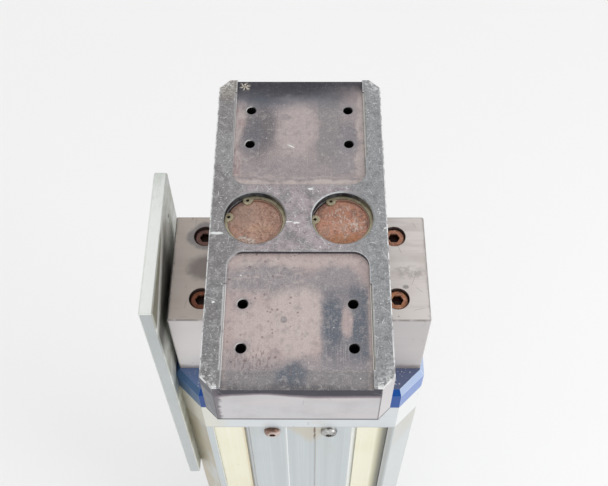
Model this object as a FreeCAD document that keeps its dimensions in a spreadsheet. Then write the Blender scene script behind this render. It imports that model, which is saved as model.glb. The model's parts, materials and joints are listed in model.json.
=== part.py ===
import FreeCAD, Part
import os
import re
import Sketcher

# Upright electric linear actuator: a motor in the foot of an extruded column turns a ball screw, whose nut
# lifts a crosshead, two push rods and the load plate on top. Millimetres, +Z up, front towards -Y, origin
# on the screw axis at the underside of the foot plate.

DIMENSIONS = {
    # Clearances between pieces
    "seat_clearance": 0.05,
    "running_clearance": 0.05,
    "slide_clearance": 0.3,
    "thread_clearance": 0.1,
    "passing_clearance": 1.0,
    "spigot_clearance": 0.2,
    "hole_tip_clearance": 3.0,

    # Extruded column and its cream slot strips
    "column_width": 197.0,
    "column_depth": 133.0,
    "column_chamfer": 19.0,
    "front_wall": 12.0,
    "side_wall": 16.0,
    "cavity_chamfer": 12.0,
    "panel_width": 86.0,
    "slot_lip": 5.0,
    "slot_land": 5.5,
    "slot_depth": 6.0,
    "groove_width": 23.5,
    "groove_depth": 1.0,
    "groove_slope": 1.4,
    "side_groove_width": 30.0,
    "strip_clearance": 0.25,
    "strip_thickness": 3.0,

    # End plates, cover plate and the radial button head screws
    "foot_thickness": 30.0,
    "foot_bolt_spacing": 150.0,
    "foot_bolt_row": 90.0,
    "foot_bolt_diameter": 8.5,
    "foot_bolt_depth": 22.0,
    "end_plate_thickness": 43.0,
    "spigot_height": 25.0,
    "cover_thickness": 28.0,
    "bevel_height": 5.6,
    "bevel_width": 3.8,
    "button_spacing": 48.0,
    "button_offset": 7.6,
    "button_head_diameter": 14.0,
    "button_head_height": 4.4,
    "button_dome": 3.6,
    "button_socket": 5.0,
    "button_socket_depth": 2.6,
    "button_thread": 8.0,
    "button_engagement": 14.0,

    # Guide block, its screws, bushings, wipers and bumpers
    "block_inset": 3.5,
    "block_depth": 90.0,
    "block_height": 80.5,
    "block_edge": 1.0,
    "block_screw_spacing": 143.0,
    "block_screw_row": 54.0,
    "counterbore_clearance": 0.75,
    "counterbore_depth": 12.0,
    "cap_head_diameter": 16.0,
    "cap_head_height": 10.0,
    "cap_head_edge": 1.0,
    "cap_socket": 8.0,
    "cap_socket_depth": 5.0,
    "cap_thread": 10.0,
    "cap_engagement": 23.5,
    "bushing_diameter": 47.0,
    "bushing_shoulder": 6.5,
    "bushing_groove_depth": 0.8,
    "bushing_groove_width": 2.2,
    "bushing_groove_inset": 5.0,
    "wiper_height": 6.0,
    "wiper_lip_height": 4.0,
    "wiper_lip_diameter": 35.0,
    "wiper_room": 1.5,
    "bumper_diameter": 54.0,

    # Load plate, push rods and retaining rings
    "load_plate_gap": 14.5,
    "load_plate_width": 121.0,
    "load_plate_length": 252.0,
    "load_plate_thickness": 51.0,
    "load_plate_corner": 8.0,
    "load_plate_edge": 0.8,
    "web_width": 55.2,
    "pocket_width": 94.0,
    "pocket_depth": 2.6,
    "pocket_corner": 11.0,
    "ledge_width": 1.4,
    "ledge_depth": 1.3,
    "ledge_start": 52.0,
    "ledge_margin": 12.5,
    "load_bolt_spacing": 71.5,
    "load_bolt_row": 31.7,
    "load_bolt_offset": 81.7,
    "load_bolt_diameter": 6.8,
    "load_bolt_sink": 0.5,
    "load_bolt_depth": 25.0,
    "rod_screw_gap": 2.5,
    "rod_diameter": 30.0,
    "rod_head_diameter": 42.0,
    "rod_head_height": 12.0,
    "rod_head_chamfer": 1.0,
    "ring_recess": 5.3,
    "ring_thickness": 1.75,
    "ring_play": 0.1,
    "ring_groove_depth": 1.25,
    "ring_band": 4.1,
    "ring_lug_diameter": 6.6,
    "ring_lug_hole": 2.5,
    "ring_gap_angle": 60.0,
    "ring_turn_left": 138.0,
    "ring_turn_right": 144.0,

    # Plate on the left side of the column
    "side_plate_thickness": 10.0,
    "side_plate_inset": 6.5,
    "side_plate_height": 322.0,
    "side_plate_rise": 37.0,
    "side_plate_edge": 1.0,
    "side_hole_diameter": 8.0,
    "side_hole_drop": 24.0,
    "side_hole_offset": 34.0,
    "side_screw_spacing": 64.0,
    "side_screw_row": 60.0,
    "side_screw_inset": 26.0,
    "side_screw_head_diameter": 15.0,
    "side_screw_head_height": 3.5,
    "side_screw_socket": 5.0,
    "side_screw_socket_depth": 2.6,
    "side_screw_thread": 8.0,
    "side_screw_engagement": 12.0,

    # Crosshead with guide shoes, and the ball nut below it
    "stroke_length": 150.0,
    "stop_clearance": 6.0,
    "crosshead_gap": 12.5,
    "crosshead_height": 45.0,
    "crosshead_chamfer": 6.0,
    "rod_seat_depth": 34.0,
    "rod_pin_diameter": 10.0,
    "rod_pin_depth": 17.0,
    "shoe_thickness": 12.2,
    "shoe_depth": 64.0,
    "shoe_screw_spacing": 40.0,
    "nut_clearance": 8.0,
    "nut_length": 45.0,
    "nut_diameter": 40.0,
    "nut_flange_height": 12.0,
    "nut_bolt_room": 0.5,
    "nut_bolt_angle": 55.0,
    "small_thread": 6.0,
    "small_head_diameter": 10.0,
    "small_head_height": 6.0,
    "small_socket": 5.0,
    "small_socket_depth": 3.0,
    "small_engagement": 12.0,

    # Ball screw with its bush, bearing, lock nut and coupling
    "screw_diameter": 25.0,
    "screw_top_diameter": 12.0,
    "bush_diameter": 18.0,
    "bush_length": 22.0,
    "bush_flange_diameter": 24.0,
    "bush_flange_height": 2.0,
    "carrier_height": 46.0,
    "bearing_bore": 20.0,
    "bearing_diameter": 47.0,
    "bearing_height": 14.0,
    "bearing_ring": 4.9,
    "roller_diameter": 7.0,
    "roller_length": 9.0,
    "roller_count": 12,
    "cap_height": 8.0,
    "cap_rim": 1.5,
    "cap_bore": 36.0,
    "cap_bolt_room": 1.0,
    "lock_nut_diameter": 32.0,
    "lock_nut_height": 8.0,
    "carrier_bore": 38.0,
    "coupling_diameter": 40.0,
    "coupling_hub_length": 20.0,
    "coupling_spider_height": 12.0,
    "coupling_gap": 3.0,
    "coupling_bore": 16.0,
    "spider_bore": 12.0,
    "spider_core": 20.0,
    "leg_angle": 22.0,
    "jaw_play": 0.5,

    # Lantern and motor
    "lantern_gap": 5.5,
    "lantern_bore": 52.0,
    "lantern_window_width": 40.0,
    "lantern_window_height": 34.0,
    "flange_chamfer": 4.0,
    "motor_gap": 7.0,
    "motor_rim": 4.0,
    "motor_length": 130.0,
    "motor_flange": 10.0,
    "motor_bolt_inset": 11.0,
    "motor_bolt_room": 0.6,
    "motor_bolt_thread": 8.0,
    "motor_bolt_head_diameter": 13.0,
    "motor_bolt_head_height": 8.0,
    "motor_bolt_socket": 6.0,
    "motor_bolt_socket_depth": 4.0,
    "motor_bolt_engagement": 14.0,
    "rear_cover_height": 28.0,
    "rotor_diameter": 62.0,
    "rotor_air_gap": 1.0,
    "rotor_inset": 15.0,
    "chamber_roof": 12.0,
    "motor_bearing_bore": 17.0,
    "motor_bearing_diameter": 35.0,
    "motor_bearing_height": 10.0,

    # Electrical socket on the rear face
    "socket_level": 64.0,
    "socket_flange": 34.0,
    "socket_flange_thickness": 4.0,
    "socket_corner": 3.0,
    "socket_barrel_diameter": 24.0,
    "socket_barrel_length": 18.0,
    "socket_rim": 2.0,
    "socket_rim_depth": 9.0,
    "socket_insert_height": 6.0,
    "socket_pin_diameter": 2.0,
    "socket_pin_length": 7.0,
    "socket_pin_seat": 3.0,
    "socket_pin_spacing": 8.0,
    "socket_pin_tip": 0.5,
    "socket_spigot_diameter": 19.0,
    "socket_bolt_spacing": 26.0,
    "socket_bolt_thread": 3.0,
    "socket_bolt_head_diameter": 5.5,
    "socket_bolt_head_height": 2.0,
    "socket_bolt_socket": 2.5,
    "socket_bolt_socket_depth": 1.2,
    "socket_bolt_engagement": 6.0,
}

# Lengths that differ by less than this are taken as equal when edges are picked
NEAR = 0.001

Vector = FreeCAD.Vector
doc = FreeCAD.newDocument("linear_actuator")
sheet = doc.addObject("Spreadsheet::Sheet", "Sizes")
for row, (name, number) in enumerate(DIMENSIONS.items(), start=1):
    sheet.set(f"A{row}", name)
    sheet.set(f"B{row}", str(number))
    sheet.setAlias(f"B{row}", name)
doc.recompute()

nodes = {}

# Levels of the stack, from the foot plate up to the top of the load plate
LANTERN_HEIGHT = "(2 * coupling_gap + 2 * coupling_hub_length + coupling_spider_height)"
MOTOR_LOW = "foot_thickness + spigot_height + motor_gap"
BODY_LOW = f"{MOTOR_LOW} + rear_cover_height"
FLANGE_LOW = f"{BODY_LOW} + motor_length"
LANTERN_LOW = f"{FLANGE_LOW} + motor_flange"
CARRIER_LOW = f"{LANTERN_LOW} + {LANTERN_HEIGHT}"
CARRIER_TOP = f"{CARRIER_LOW} + carrier_height"
NUT_LOW = f"{CARRIER_TOP} + cap_height + nut_clearance"
CROSSHEAD_LOW = f"{NUT_LOW} + nut_length + nut_flange_height"
CROSSHEAD_TOP = f"{CROSSHEAD_LOW} + crosshead_height"
SPIGOT_LOW = f"{CROSSHEAD_TOP} + stroke_length + stop_clearance"
PROFILE_TOP = f"{SPIGOT_LOW} + spigot_height"
COVER_LOW = f"{PROFILE_TOP} + end_plate_thickness"
BLOCK_LOW = f"{COVER_LOW} + cover_thickness"
BLOCK_TOP = f"{BLOCK_LOW} + block_height"
LOAD_LOW = f"{BLOCK_TOP} + load_plate_gap"
LOAD_TOP = f"{LOAD_LOW} + load_plate_thickness"
SIDE_PLATE_LOW = f"{BLOCK_TOP} + side_plate_rise - side_plate_height"

# Widths that several pieces share
CAVITY_WIDTH = "(column_width - 2 * side_wall)"
CAVITY_DEPTH = "(column_depth - 2 * front_wall)"
SLOT_INNER = "(panel_width / 2 + slot_lip)"
SLOT_OUTER = "(column_width / 2 - column_chamfer - slot_land)"
BLOCK_WIDTH = "(column_width - 2 * block_inset)"
COUNTERBORE = "(cap_head_diameter + 2 * counterbore_clearance)"
BUSHING_LENGTH = "(block_height - wiper_height - bushing_shoulder)"
BUMPER_BORE = "(wiper_lip_diameter + 2 * wiper_room)"
HALF_PITCH = "((screw_diameter + rod_diameter) / 2 + rod_screw_gap)"
SIDE_PLATE_WIDTH = "(column_depth - 2 * side_plate_inset)"
CROSSHEAD_WIDTH = f"({CAVITY_WIDTH} - 2 * shoe_thickness - 2 * slide_clearance)"
CROSSHEAD_DEPTH = f"({CAVITY_DEPTH} - 2 * crosshead_gap)"
NUT_BOLT_CIRCLE = "(nut_diameter + small_head_diameter + 2 * nut_bolt_room)"
NUT_FLANGE = f"({NUT_BOLT_CIRCLE} + small_head_diameter + 2 * nut_bolt_room)"
CAP_BOLT_CIRCLE = "(bearing_diameter + small_head_diameter + 2 * cap_bolt_room)"
CAP_DIAMETER = f"({CAP_BOLT_CIRCLE} + small_head_diameter + 2 * cap_rim)"
LANTERN_WIDTH = f"({CAVITY_DEPTH} - 2 * lantern_gap)"
MOTOR_WIDTH = f"({LANTERN_WIDTH} - 2 * motor_rim)"
MOTOR_BOLTS = f"({LANTERN_WIDTH} - 2 * motor_bolt_inset)"
HEAD_CORNER = "sqrt(2) * (motor_bolt_head_diameter / 2 + motor_bolt_room)"
MOTOR_CHAMFER = f"({MOTOR_WIDTH} - {MOTOR_BOLTS} + {HEAD_CORNER})"
RING_DIAMETER = "(rod_head_diameter + 2 * ring_groove_depth - 2 * ring_play)"
ROD_HOLE = "(rod_diameter + 2 * passing_clearance)"
CAP_HOLE = "(cap_thread + passing_clearance)"
CAP_TAPPED = "(cap_thread + 2 * thread_clearance)"
BUTTON_TAPPED = "(button_thread + 2 * thread_clearance)"
SIDE_TAPPED = "(side_screw_thread + 2 * thread_clearance)"
SMALL_TAPPED = "(small_thread + 2 * thread_clearance)"
SMALL_HEAD = ("small_head_diameter", "small_head_height")
SMALL_SOCKET = ("small_socket", "small_socket_depth")
SMALL_HEAD_HOLE = "(small_head_diameter + passing_clearance)"
MOTOR_BOLT_TAPPED = "(motor_bolt_thread + 2 * thread_clearance)"


def bind(text):
    """Turn the sheet names in a formula, the words with an underscore, into references to the sheet."""
    return re.sub(r"\b([a-z]+_\w+)\b", r"Sizes.\1", text)


def value(text):
    """Number that a formula has now."""
    return float(sheet.evalExpression(bind(text)))


def at_corners(x, y):
    """The four places (+-x, +-y)."""
    return [(f"{side}({x})", f"{end}({y})") for side in ("-", "") for end in ("-", "")]


def at_sides(x):
    """The two places (+-x, 0)."""
    return [(f"-({x})", "0"), (x, "0")]


def on_circle(diameter, angle):
    """Four places on a bolt circle, the given angle away from the X axis."""
    return at_corners(f"{diameter} / 2 * cos({angle})", f"{diameter} / 2 * sin({angle})")


def four_ways(quarter):
    """Mirror the corners of a quarter outline, given from front to side, into the whole outline."""
    corners = []
    for side, end, order in (("", "-", 1), ("", "", -1), ("-", "", 1), ("-", "-", -1)):
        corners += [(f"{side}({x})", f"{end}({y})") for x, y in quarter[::order]]
    return corners


def octagon(width, depth, chamfer):
    """Rectangle with its four corners cut at 45 degrees."""
    return four_ways([
        (f"({width}) / 2 - {chamfer}", f"({depth}) / 2"),
        (f"({width}) / 2", f"({depth}) / 2 - {chamfer}"),
    ])


def rectangle(width, depth):
    """Plain rectangle around the origin."""
    return four_ways([(f"({width}) / 2", f"({depth}) / 2")])


def box_between(low_x, high_x, low_y, high_y):
    """Corners of a rectangle between two places."""
    return [(low_x, low_y), (high_x, low_y), (high_x, high_y), (low_x, high_y)]


def new_body(label):
    """Empty body that may hold several separate solids."""
    body = doc.addObject("PartDesign::Body", label)
    body.Label = label
    body.AllowCompound = True
    return body


def new_sketch(body, role="XY_Plane", offset="0"):
    """Sketch on one of the body's origin planes, moved along that plane's normal."""
    plane = next(feature for feature in body.Origin.OriginFeatures if feature.Role == role)
    sketch = body.newObject("Sketcher::SketchObject", f"{body.Name}_sketch")
    sketch.AttachmentSupport = [(plane, "")]
    sketch.MapMode = "FlatFace"
    sketch.setExpression("AttachmentOffset.Base.z", bind(offset))
    return sketch


def tie_point(sketch, geometry, point, x, y):
    """Hold one point of a sketch at two formulas."""
    for kind, text in (("DistanceX", x), ("DistanceY", y)):
        number = sketch.addConstraint(Sketcher.Constraint(kind, -1, 1, geometry, point, value(text)))
        sketch.setExpression(f"Constraints[{number}]", bind(text))


def draw_outline(sketch, corners):
    """Closed outline of straight lines through the corners."""
    places = [Vector(value(x), value(y), 0) for x, y in corners]
    first = sketch.GeometryCount
    for start, end in zip(places, places[1:] + places[:1]):
        sketch.addGeometry(Part.LineSegment(start, end), False)
    for step, (x, y) in enumerate(corners):
        following = first + (step + 1) % len(corners)
        sketch.addConstraint(Sketcher.Constraint("Coincident", first + step, 2, following, 1))
        tie_point(sketch, first + step, 1, x, y)


def draw_circles(sketch, places, diameter):
    """Circle of one diameter at each place."""
    for x, y in places:
        centre = Vector(value(x), value(y), 0)
        circle = sketch.addGeometry(Part.Circle(centre, Vector(0, 0, 1), value(diameter) / 2), False)
        tie_point(sketch, circle, 3, x, y)
        number = sketch.addConstraint(Sketcher.Constraint("Diameter", circle, value(diameter)))
        sketch.setExpression(f"Constraints[{number}]", bind(diameter))


def pad(sketch, length, down=False, taper=None):
    """Raise a sketch along its normal, or against it, into solid."""
    body = sketch.getParentGeoFeatureGroup()
    feature = body.newObject("PartDesign::Pad", f"{body.Name}_pad")
    feature.Profile = sketch
    feature.setExpression("Length", bind(length))
    feature.Reversed = down
    if taper:
        feature.setExpression("TaperAngle", bind(taper))
    doc.recompute()
    return feature


def cut(sketch, depth, up=False, taper=None):
    """Cut a sketch into the solid against its normal, or along it, and stop if that removes nothing."""
    body = sketch.getParentGeoFeatureGroup()
    before = body.Shape.Volume
    feature = body.newObject("PartDesign::Pocket", f"{body.Name}_cut")
    feature.Profile = sketch
    feature.setExpression("Length", bind(depth))
    feature.Reversed = up
    if taper:
        feature.setExpression("TaperAngle", bind(taper))
    doc.recompute()
    if not body.Shape.Volume < before:
        raise RuntimeError(f"{body.Label}: a cut removes nothing")
    return feature


def drill(body, places, diameter, top, depth, role="XY_Plane", up=False):
    """Round holes of one size from a plane into the solid."""
    sketch = new_sketch(body, role, top)
    draw_circles(sketch, places, diameter)
    return cut(sketch, depth, up)


def countersink(body, places, diameter, top, depth, role="XY_Plane", up=False):
    """Round seats that narrow at 45 degrees from a plane into the solid."""
    sketch = new_sketch(body, role, top)
    draw_circles(sketch, places, diameter)
    return cut(sketch, depth, up, taper="-45")


def drill_front_and_rear(body, places, diameter, half_depth, depth):
    """The same round holes from the front face and from the rear face."""
    drill(body, places, diameter, half_depth, depth, "XZ_Plane")
    drill(body, places, diameter, f"-({half_depth})", depth, "XZ_Plane", up=True)


def prism(label, outline, height):
    """Upright prism from its underside at Z 0."""
    body = new_body(label)
    sketch = new_sketch(body)
    draw_outline(sketch, outline)
    pad(sketch, height)
    return body


def turned(label, corners):
    """Solid of revolution about Z from corners given as radius and height."""
    body = new_body(label)
    sketch = new_sketch(body, "XZ_Plane")
    draw_outline(sketch, corners)
    feature = body.newObject("PartDesign::Revolution", f"{label}_turn")
    feature.Profile = sketch
    feature.ReferenceAxis = (sketch, ["V_Axis"])
    feature.Angle = 360
    doc.recompute()
    return body


def ring(label, bore, diameter, height):
    """Plain turned ring from Z 0 up."""
    inner = f"({bore}) / 2"
    outer = f"({diameter}) / 2"
    return turned(label, box_between(inner, outer, "0", height))


def break_edges(body, kind, size, chosen):
    """Chamfer or fillet the edges of the body's last feature that a test picks."""
    base = body.Tip
    names = [f"Edge{number}" for number, edge in enumerate(base.Shape.Edges, start=1) if chosen(edge)]
    if not names:
        raise RuntimeError(f"{body.Label}: no edge to break")
    feature = body.newObject(f"PartDesign::{kind}", f"{body.Name}_{kind.lower()}")
    feature.Base = (base, names)
    feature.setExpression("Radius" if kind == "Fillet" else "Size", bind(size))
    doc.recompute()
    return feature


def at_height(edge, height):
    """Whether an edge lies level at a height."""
    box = edge.BoundBox
    return abs(box.ZMin - height) < NEAR and abs(box.ZMax - height) < NEAR


def upright(edge):
    """Whether an edge is a vertical straight line."""
    box = edge.BoundBox
    return box.XLength < NEAR and box.YLength < NEAR


def place(thing, x="0", y="0", z="0", turn=None):
    """Set where a piece stands, turned about an axis by an angle if one is given."""
    if turn:
        axis, angle = turn
        thing.Placement = FreeCAD.Placement(Vector(), FreeCAD.Rotation(axis, angle))
    for letter, text in (("x", x), ("y", y), ("z", z)):
        thing.setExpression(f"Placement.Base.{letter}", bind(text))
    return thing


def keep(thing):
    """Count a finished object among the nodes, under its label."""
    nodes[thing.Label] = thing
    return thing


def mirrored(source, label, normal):
    """Mirror image of a piece in an upright plane through the axis."""
    image = doc.addObject("Part::Mirroring", label)
    image.Source = source
    image.Base = Vector()
    image.Normal = normal
    return image


def group(label, members):
    """Several separate solids that share one node."""
    gathered = doc.addObject("Part::Compound", label)
    gathered.Label = label
    gathered.Links = members
    return keep(gathered)


def screws(label, places, head_diameter, head_height, thread, length, socket=None, flat=False):
    """Screws along Z with their heads' seats at Z 0, or flat heads sunk from there; sockets where sized."""
    body = new_body(label)
    sketch = new_sketch(body)
    draw_circles(sketch, places, head_diameter)
    if flat:
        pad(sketch, head_height, down=True, taper="-45")
    else:
        pad(sketch, head_height)
    sketch = new_sketch(body)
    draw_circles(sketch, places, thread)
    pad(sketch, length, down=True)
    if socket:
        width, depth = socket
        hex_sockets(body, places, width, "0" if flat else head_height, depth)
    return body


def hex_sockets(body, places, width, top, depth):
    """Hexagon sockets in screw heads."""
    sketch = new_sketch(body, "XY_Plane", top)
    for x, y in places:
        reach = f"{width} / sqrt(3)"
        draw_outline(sketch, [
            (f"{x} + {reach} * cos({angle})", f"{y} + {reach} * sin({angle})") for angle in range(0, 360, 60)
        ])
    cut(sketch, depth)


def column_plate(label, thickness):
    """Plate with the column's outline, from Z 0 up."""
    return prism(label, octagon("column_width", "column_depth", "column_chamfer"), thickness)


def cavity_outline():
    """Outline that slides into the column's cavity."""
    play = "2 * spigot_clearance"
    return octagon(f"{CAVITY_WIDTH} - {play}", f"{CAVITY_DEPTH} - {play}", "cavity_chamfer")


def button_screws(label, level):
    """Button head screws, two through the front wall of the column and two through the rear wall."""
    places = at_sides("button_spacing / 2")
    length = "front_wall + button_engagement"
    head = ("button_head_diameter", "button_head_height")
    front = screws(f"{label}_front", places, *head, "button_thread", length)
    top = value("button_head_height")
    break_edges(front, "Fillet", "button_dome", lambda edge: at_height(edge, top))
    hex_sockets(front, places, "button_socket", "button_head_height", "button_socket_depth")
    place(front, y="-column_depth / 2", z=level, turn=(Vector(1, 0, 0), 90))
    rear = mirrored(front, f"{label}_rear", Vector(0, 1, 0))
    return group(label, [front, rear])


def drill_button_seats(body, level):
    """Tapped holes for the button head screws in a piece that fills the cavity."""
    places = [(x, level) for x, _ in at_sides("button_spacing / 2")]
    depth = "button_engagement + hole_tip_clearance"
    drill_front_and_rear(body, places, BUTTON_TAPPED, f"{CAVITY_DEPTH} / 2 - spigot_clearance", depth)


# Foot plate with a spigot that locates the column, and the tapped holes that hold the actuator down
def make_foot_plate():
    body = column_plate("foot_plate", "foot_thickness")
    sketch = new_sketch(body, "XY_Plane", "foot_thickness")
    draw_outline(sketch, cavity_outline())
    pad(sketch, "spigot_height")
    bolts = at_corners("foot_bolt_spacing / 2", "foot_bolt_row / 2")
    drill(body, bolts, "foot_bolt_diameter", "0", "foot_bolt_depth", up=True)
    drill_button_seats(body, "foot_thickness + button_offset")
    keep(place(body))
    button_screws("foot_plate_screws", "foot_thickness + button_offset")


# Extruded column: eight-sided outside, wide strip slots front and rear, drill grooves and an open cavity
def make_housing_profile():
    body = new_body("housing_profile")
    front = "column_depth / 2"
    quarter = [
        ("groove_width / 2", f"{front} - groove_depth"),
        ("groove_width / 2 + groove_slope", front),
        ("panel_width / 2", front),
        (SLOT_INNER, f"{front} - slot_depth"),
        (SLOT_OUTER, f"{front} - slot_depth"),
        (SLOT_OUTER, front),
        ("column_width / 2 - column_chamfer", front),
        ("column_width / 2", f"{front} - column_chamfer"),
        ("column_width / 2", "side_groove_width / 2 + groove_slope"),
        ("column_width / 2 - groove_depth", "side_groove_width / 2"),
    ]
    sketch = new_sketch(body)
    draw_outline(sketch, four_ways(quarter))
    draw_outline(sketch, octagon(CAVITY_WIDTH, CAVITY_DEPTH, "cavity_chamfer"))
    length = f"{PROFILE_TOP} - foot_thickness"
    pad(sketch, length)
    clear_hole = "button_thread + passing_clearance"
    carrier_level = f"{CARRIER_LOW} + carrier_height / 2 - foot_thickness"
    for level in ("button_offset", carrier_level, f"{length} - button_offset"):
        places = [(x, level) for x, _ in at_sides("button_spacing / 2")]
        drill_front_and_rear(body, places, clear_hole, "column_depth / 2", "front_wall")
    rows = at_corners("side_screw_row / 2", "side_screw_spacing / 2")
    middle = f"{SIDE_PLATE_LOW} + side_screw_inset + side_screw_spacing / 2 - foot_thickness"
    places = [(y, f"{middle} + {z}") for y, z in rows]
    drill(body, places, SIDE_TAPPED, "-column_width / 2", "side_screw_engagement", "YZ_Plane", up=True)
    socket = [("0", "socket_level")]
    hole = "socket_spigot_diameter + 2 * seat_clearance"
    drill(body, socket, hole, "-column_depth / 2", "front_wall", "XZ_Plane", up=True)
    square = at_corners("socket_bolt_spacing / 2", "socket_bolt_spacing / 2")
    bolts = [(x, f"socket_level + {z}") for x, z in square]
    tapped = "socket_bolt_thread + 2 * thread_clearance"
    drill(body, bolts, tapped, "-column_depth / 2", "socket_bolt_engagement", "XZ_Plane", up=True)
    keep(place(body, z="foot_thickness"))


# Cream strips that lie on the floors of the four slots
def make_slot_strips():
    low_x = f"{SLOT_INNER} + strip_clearance"
    high_x = f"{SLOT_OUTER} - strip_clearance"
    floor = "column_depth / 2 - slot_depth"
    face = f"{floor} + strip_thickness"
    for end, end_sign in (("front", "-"), ("rear", "")):
        for side, side_sign in (("left", "-"), ("right", "")):
            corners = box_between(low_x, high_x, floor, face)
            outline = [(f"{side_sign}({x})", f"{end_sign}({y})") for x, y in corners]
            strip = prism(f"slot_strip_{end}_{side}", outline, f"{PROFILE_TOP} - foot_thickness")
            keep(place(strip, z="foot_thickness"))


# Top end plate with its spigot, the rod passages and the upper bush of the screw
def make_top_end_plate():
    body = column_plate("top_end_plate", "end_plate_thickness")
    sketch = new_sketch(body)
    draw_outline(sketch, cavity_outline())
    pad(sketch, "spigot_height", down=True)
    whole = "end_plate_thickness + spigot_height"
    drill(body, at_sides(HALF_PITCH), ROD_HOLE, "end_plate_thickness", whole)
    screw_places = at_corners("block_screw_spacing / 2", "block_screw_row / 2")
    depth = "cap_engagement + hole_tip_clearance"
    drill(body, screw_places, CAP_TAPPED, "end_plate_thickness", depth)
    seat = "bush_diameter + 2 * seat_clearance"
    drill(body, [("0", "0")], seat, "-spigot_height", "bush_length + hole_tip_clearance", up=True)
    drill_button_seats(body, "-button_offset")
    keep(place(body, z=PROFILE_TOP))
    button_screws("end_plate_screws", f"{PROFILE_TOP} - button_offset")

    bore = "screw_top_diameter / 2 + running_clearance"
    bush = turned("screw_bush", [
        (bore, "0"),
        ("bush_flange_diameter / 2", "0"),
        ("bush_flange_diameter / 2", "bush_flange_height"),
        ("bush_diameter / 2", "bush_flange_height"),
        ("bush_diameter / 2", "bush_flange_height + bush_length"),
        (bore, "bush_flange_height + bush_length"),
    ])
    keep(place(bush, z=f"{SPIGOT_LOW} - bush_flange_height"))


# Blue cover plate with a bevel round its top
def make_cover_plate():
    body = column_plate("cover_plate", "cover_thickness - bevel_height")
    sketch = new_sketch(body, "XY_Plane", "cover_thickness - bevel_height")
    draw_outline(sketch, octagon("column_width", "column_depth", "column_chamfer"))
    pad(sketch, "bevel_height", taper="-atan(bevel_width / bevel_height)")
    drill(body, at_sides(HALF_PITCH), ROD_HOLE, "cover_thickness", "cover_thickness")
    screw_places = at_corners("block_screw_spacing / 2", "block_screw_row / 2")
    drill(body, screw_places, CAP_HOLE, "cover_thickness", "cover_thickness")
    keep(place(body, z=COVER_LOW))


# Guide block with two bushing bores and four counterbored screw holes
def make_guide_block():
    body = prism("guide_block", rectangle(BLOCK_WIDTH, "block_depth"), "block_height")
    break_edges(body, "Chamfer", "block_edge", lambda edge: not at_height(edge, 0))
    rods = at_sides(HALF_PITCH)
    drill(body, rods, ROD_HOLE, "block_height", "block_height")
    seat = "bushing_diameter + 2 * seat_clearance"
    drill(body, rods, seat, "block_height", f"{BUSHING_LENGTH} + wiper_height")
    places = at_corners("block_screw_spacing / 2", "block_screw_row / 2")
    drill(body, places, CAP_HOLE, "block_height", "block_height")
    drill(body, places, COUNTERBORE, "block_height", "counterbore_depth")
    keep(place(body, z=BLOCK_LOW))

    length = "block_height - counterbore_depth + cover_thickness + cap_engagement"
    bolts = screws("guide_block_screws", places, "cap_head_diameter", "cap_head_height", "cap_thread", length)
    top = value("cap_head_height")
    break_edges(bolts, "Chamfer", "cap_head_edge", lambda edge: at_height(edge, top))
    hex_sockets(bolts, places, "cap_socket", "cap_head_height", "cap_socket_depth")
    keep(place(bolts, z=f"{BLOCK_TOP} - counterbore_depth"))


# Linear bushing, wiper and stop bumper round each push rod
def make_rod_guides(side, x):
    bore = "rod_diameter / 2 + running_clearance"
    outer = "bushing_diameter / 2"
    neck = "bushing_diameter / 2 - bushing_groove_depth"
    low = "bushing_groove_inset"
    high = f"{BUSHING_LENGTH} - bushing_groove_inset - bushing_groove_width"
    bushing = turned(f"guide_bushing_{side}", [
        (bore, "0"),
        (outer, "0"),
        (outer, low),
        (neck, low),
        (neck, f"{low} + bushing_groove_width"),
        (outer, f"{low} + bushing_groove_width"),
        (outer, high),
        (neck, high),
        (neck, f"{high} + bushing_groove_width"),
        (outer, f"{high} + bushing_groove_width"),
        (outer, BUSHING_LENGTH),
        (bore, BUSHING_LENGTH),
    ])
    keep(place(bushing, x=x, z=f"{BLOCK_LOW} + bushing_shoulder"))
    lip = "wiper_lip_diameter / 2"
    wiper = turned(f"rod_wiper_{side}", [
        (bore, "0"),
        (outer, "0"),
        (outer, "wiper_height"),
        (lip, "wiper_height"),
        (bore, "wiper_height + wiper_lip_height"),
    ])
    keep(place(wiper, x=x, z=f"{BLOCK_TOP} - wiper_height"))
    bumper = ring(f"stop_bumper_{side}", BUMPER_BORE, "bumper_diameter", "load_plate_gap - slide_clearance")
    top = value("load_plate_gap - slide_clearance")
    break_edges(bumper, "Chamfer", "block_edge", lambda edge: at_height(edge, top))
    keep(place(bumper, x=x, z=BLOCK_TOP))


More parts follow.
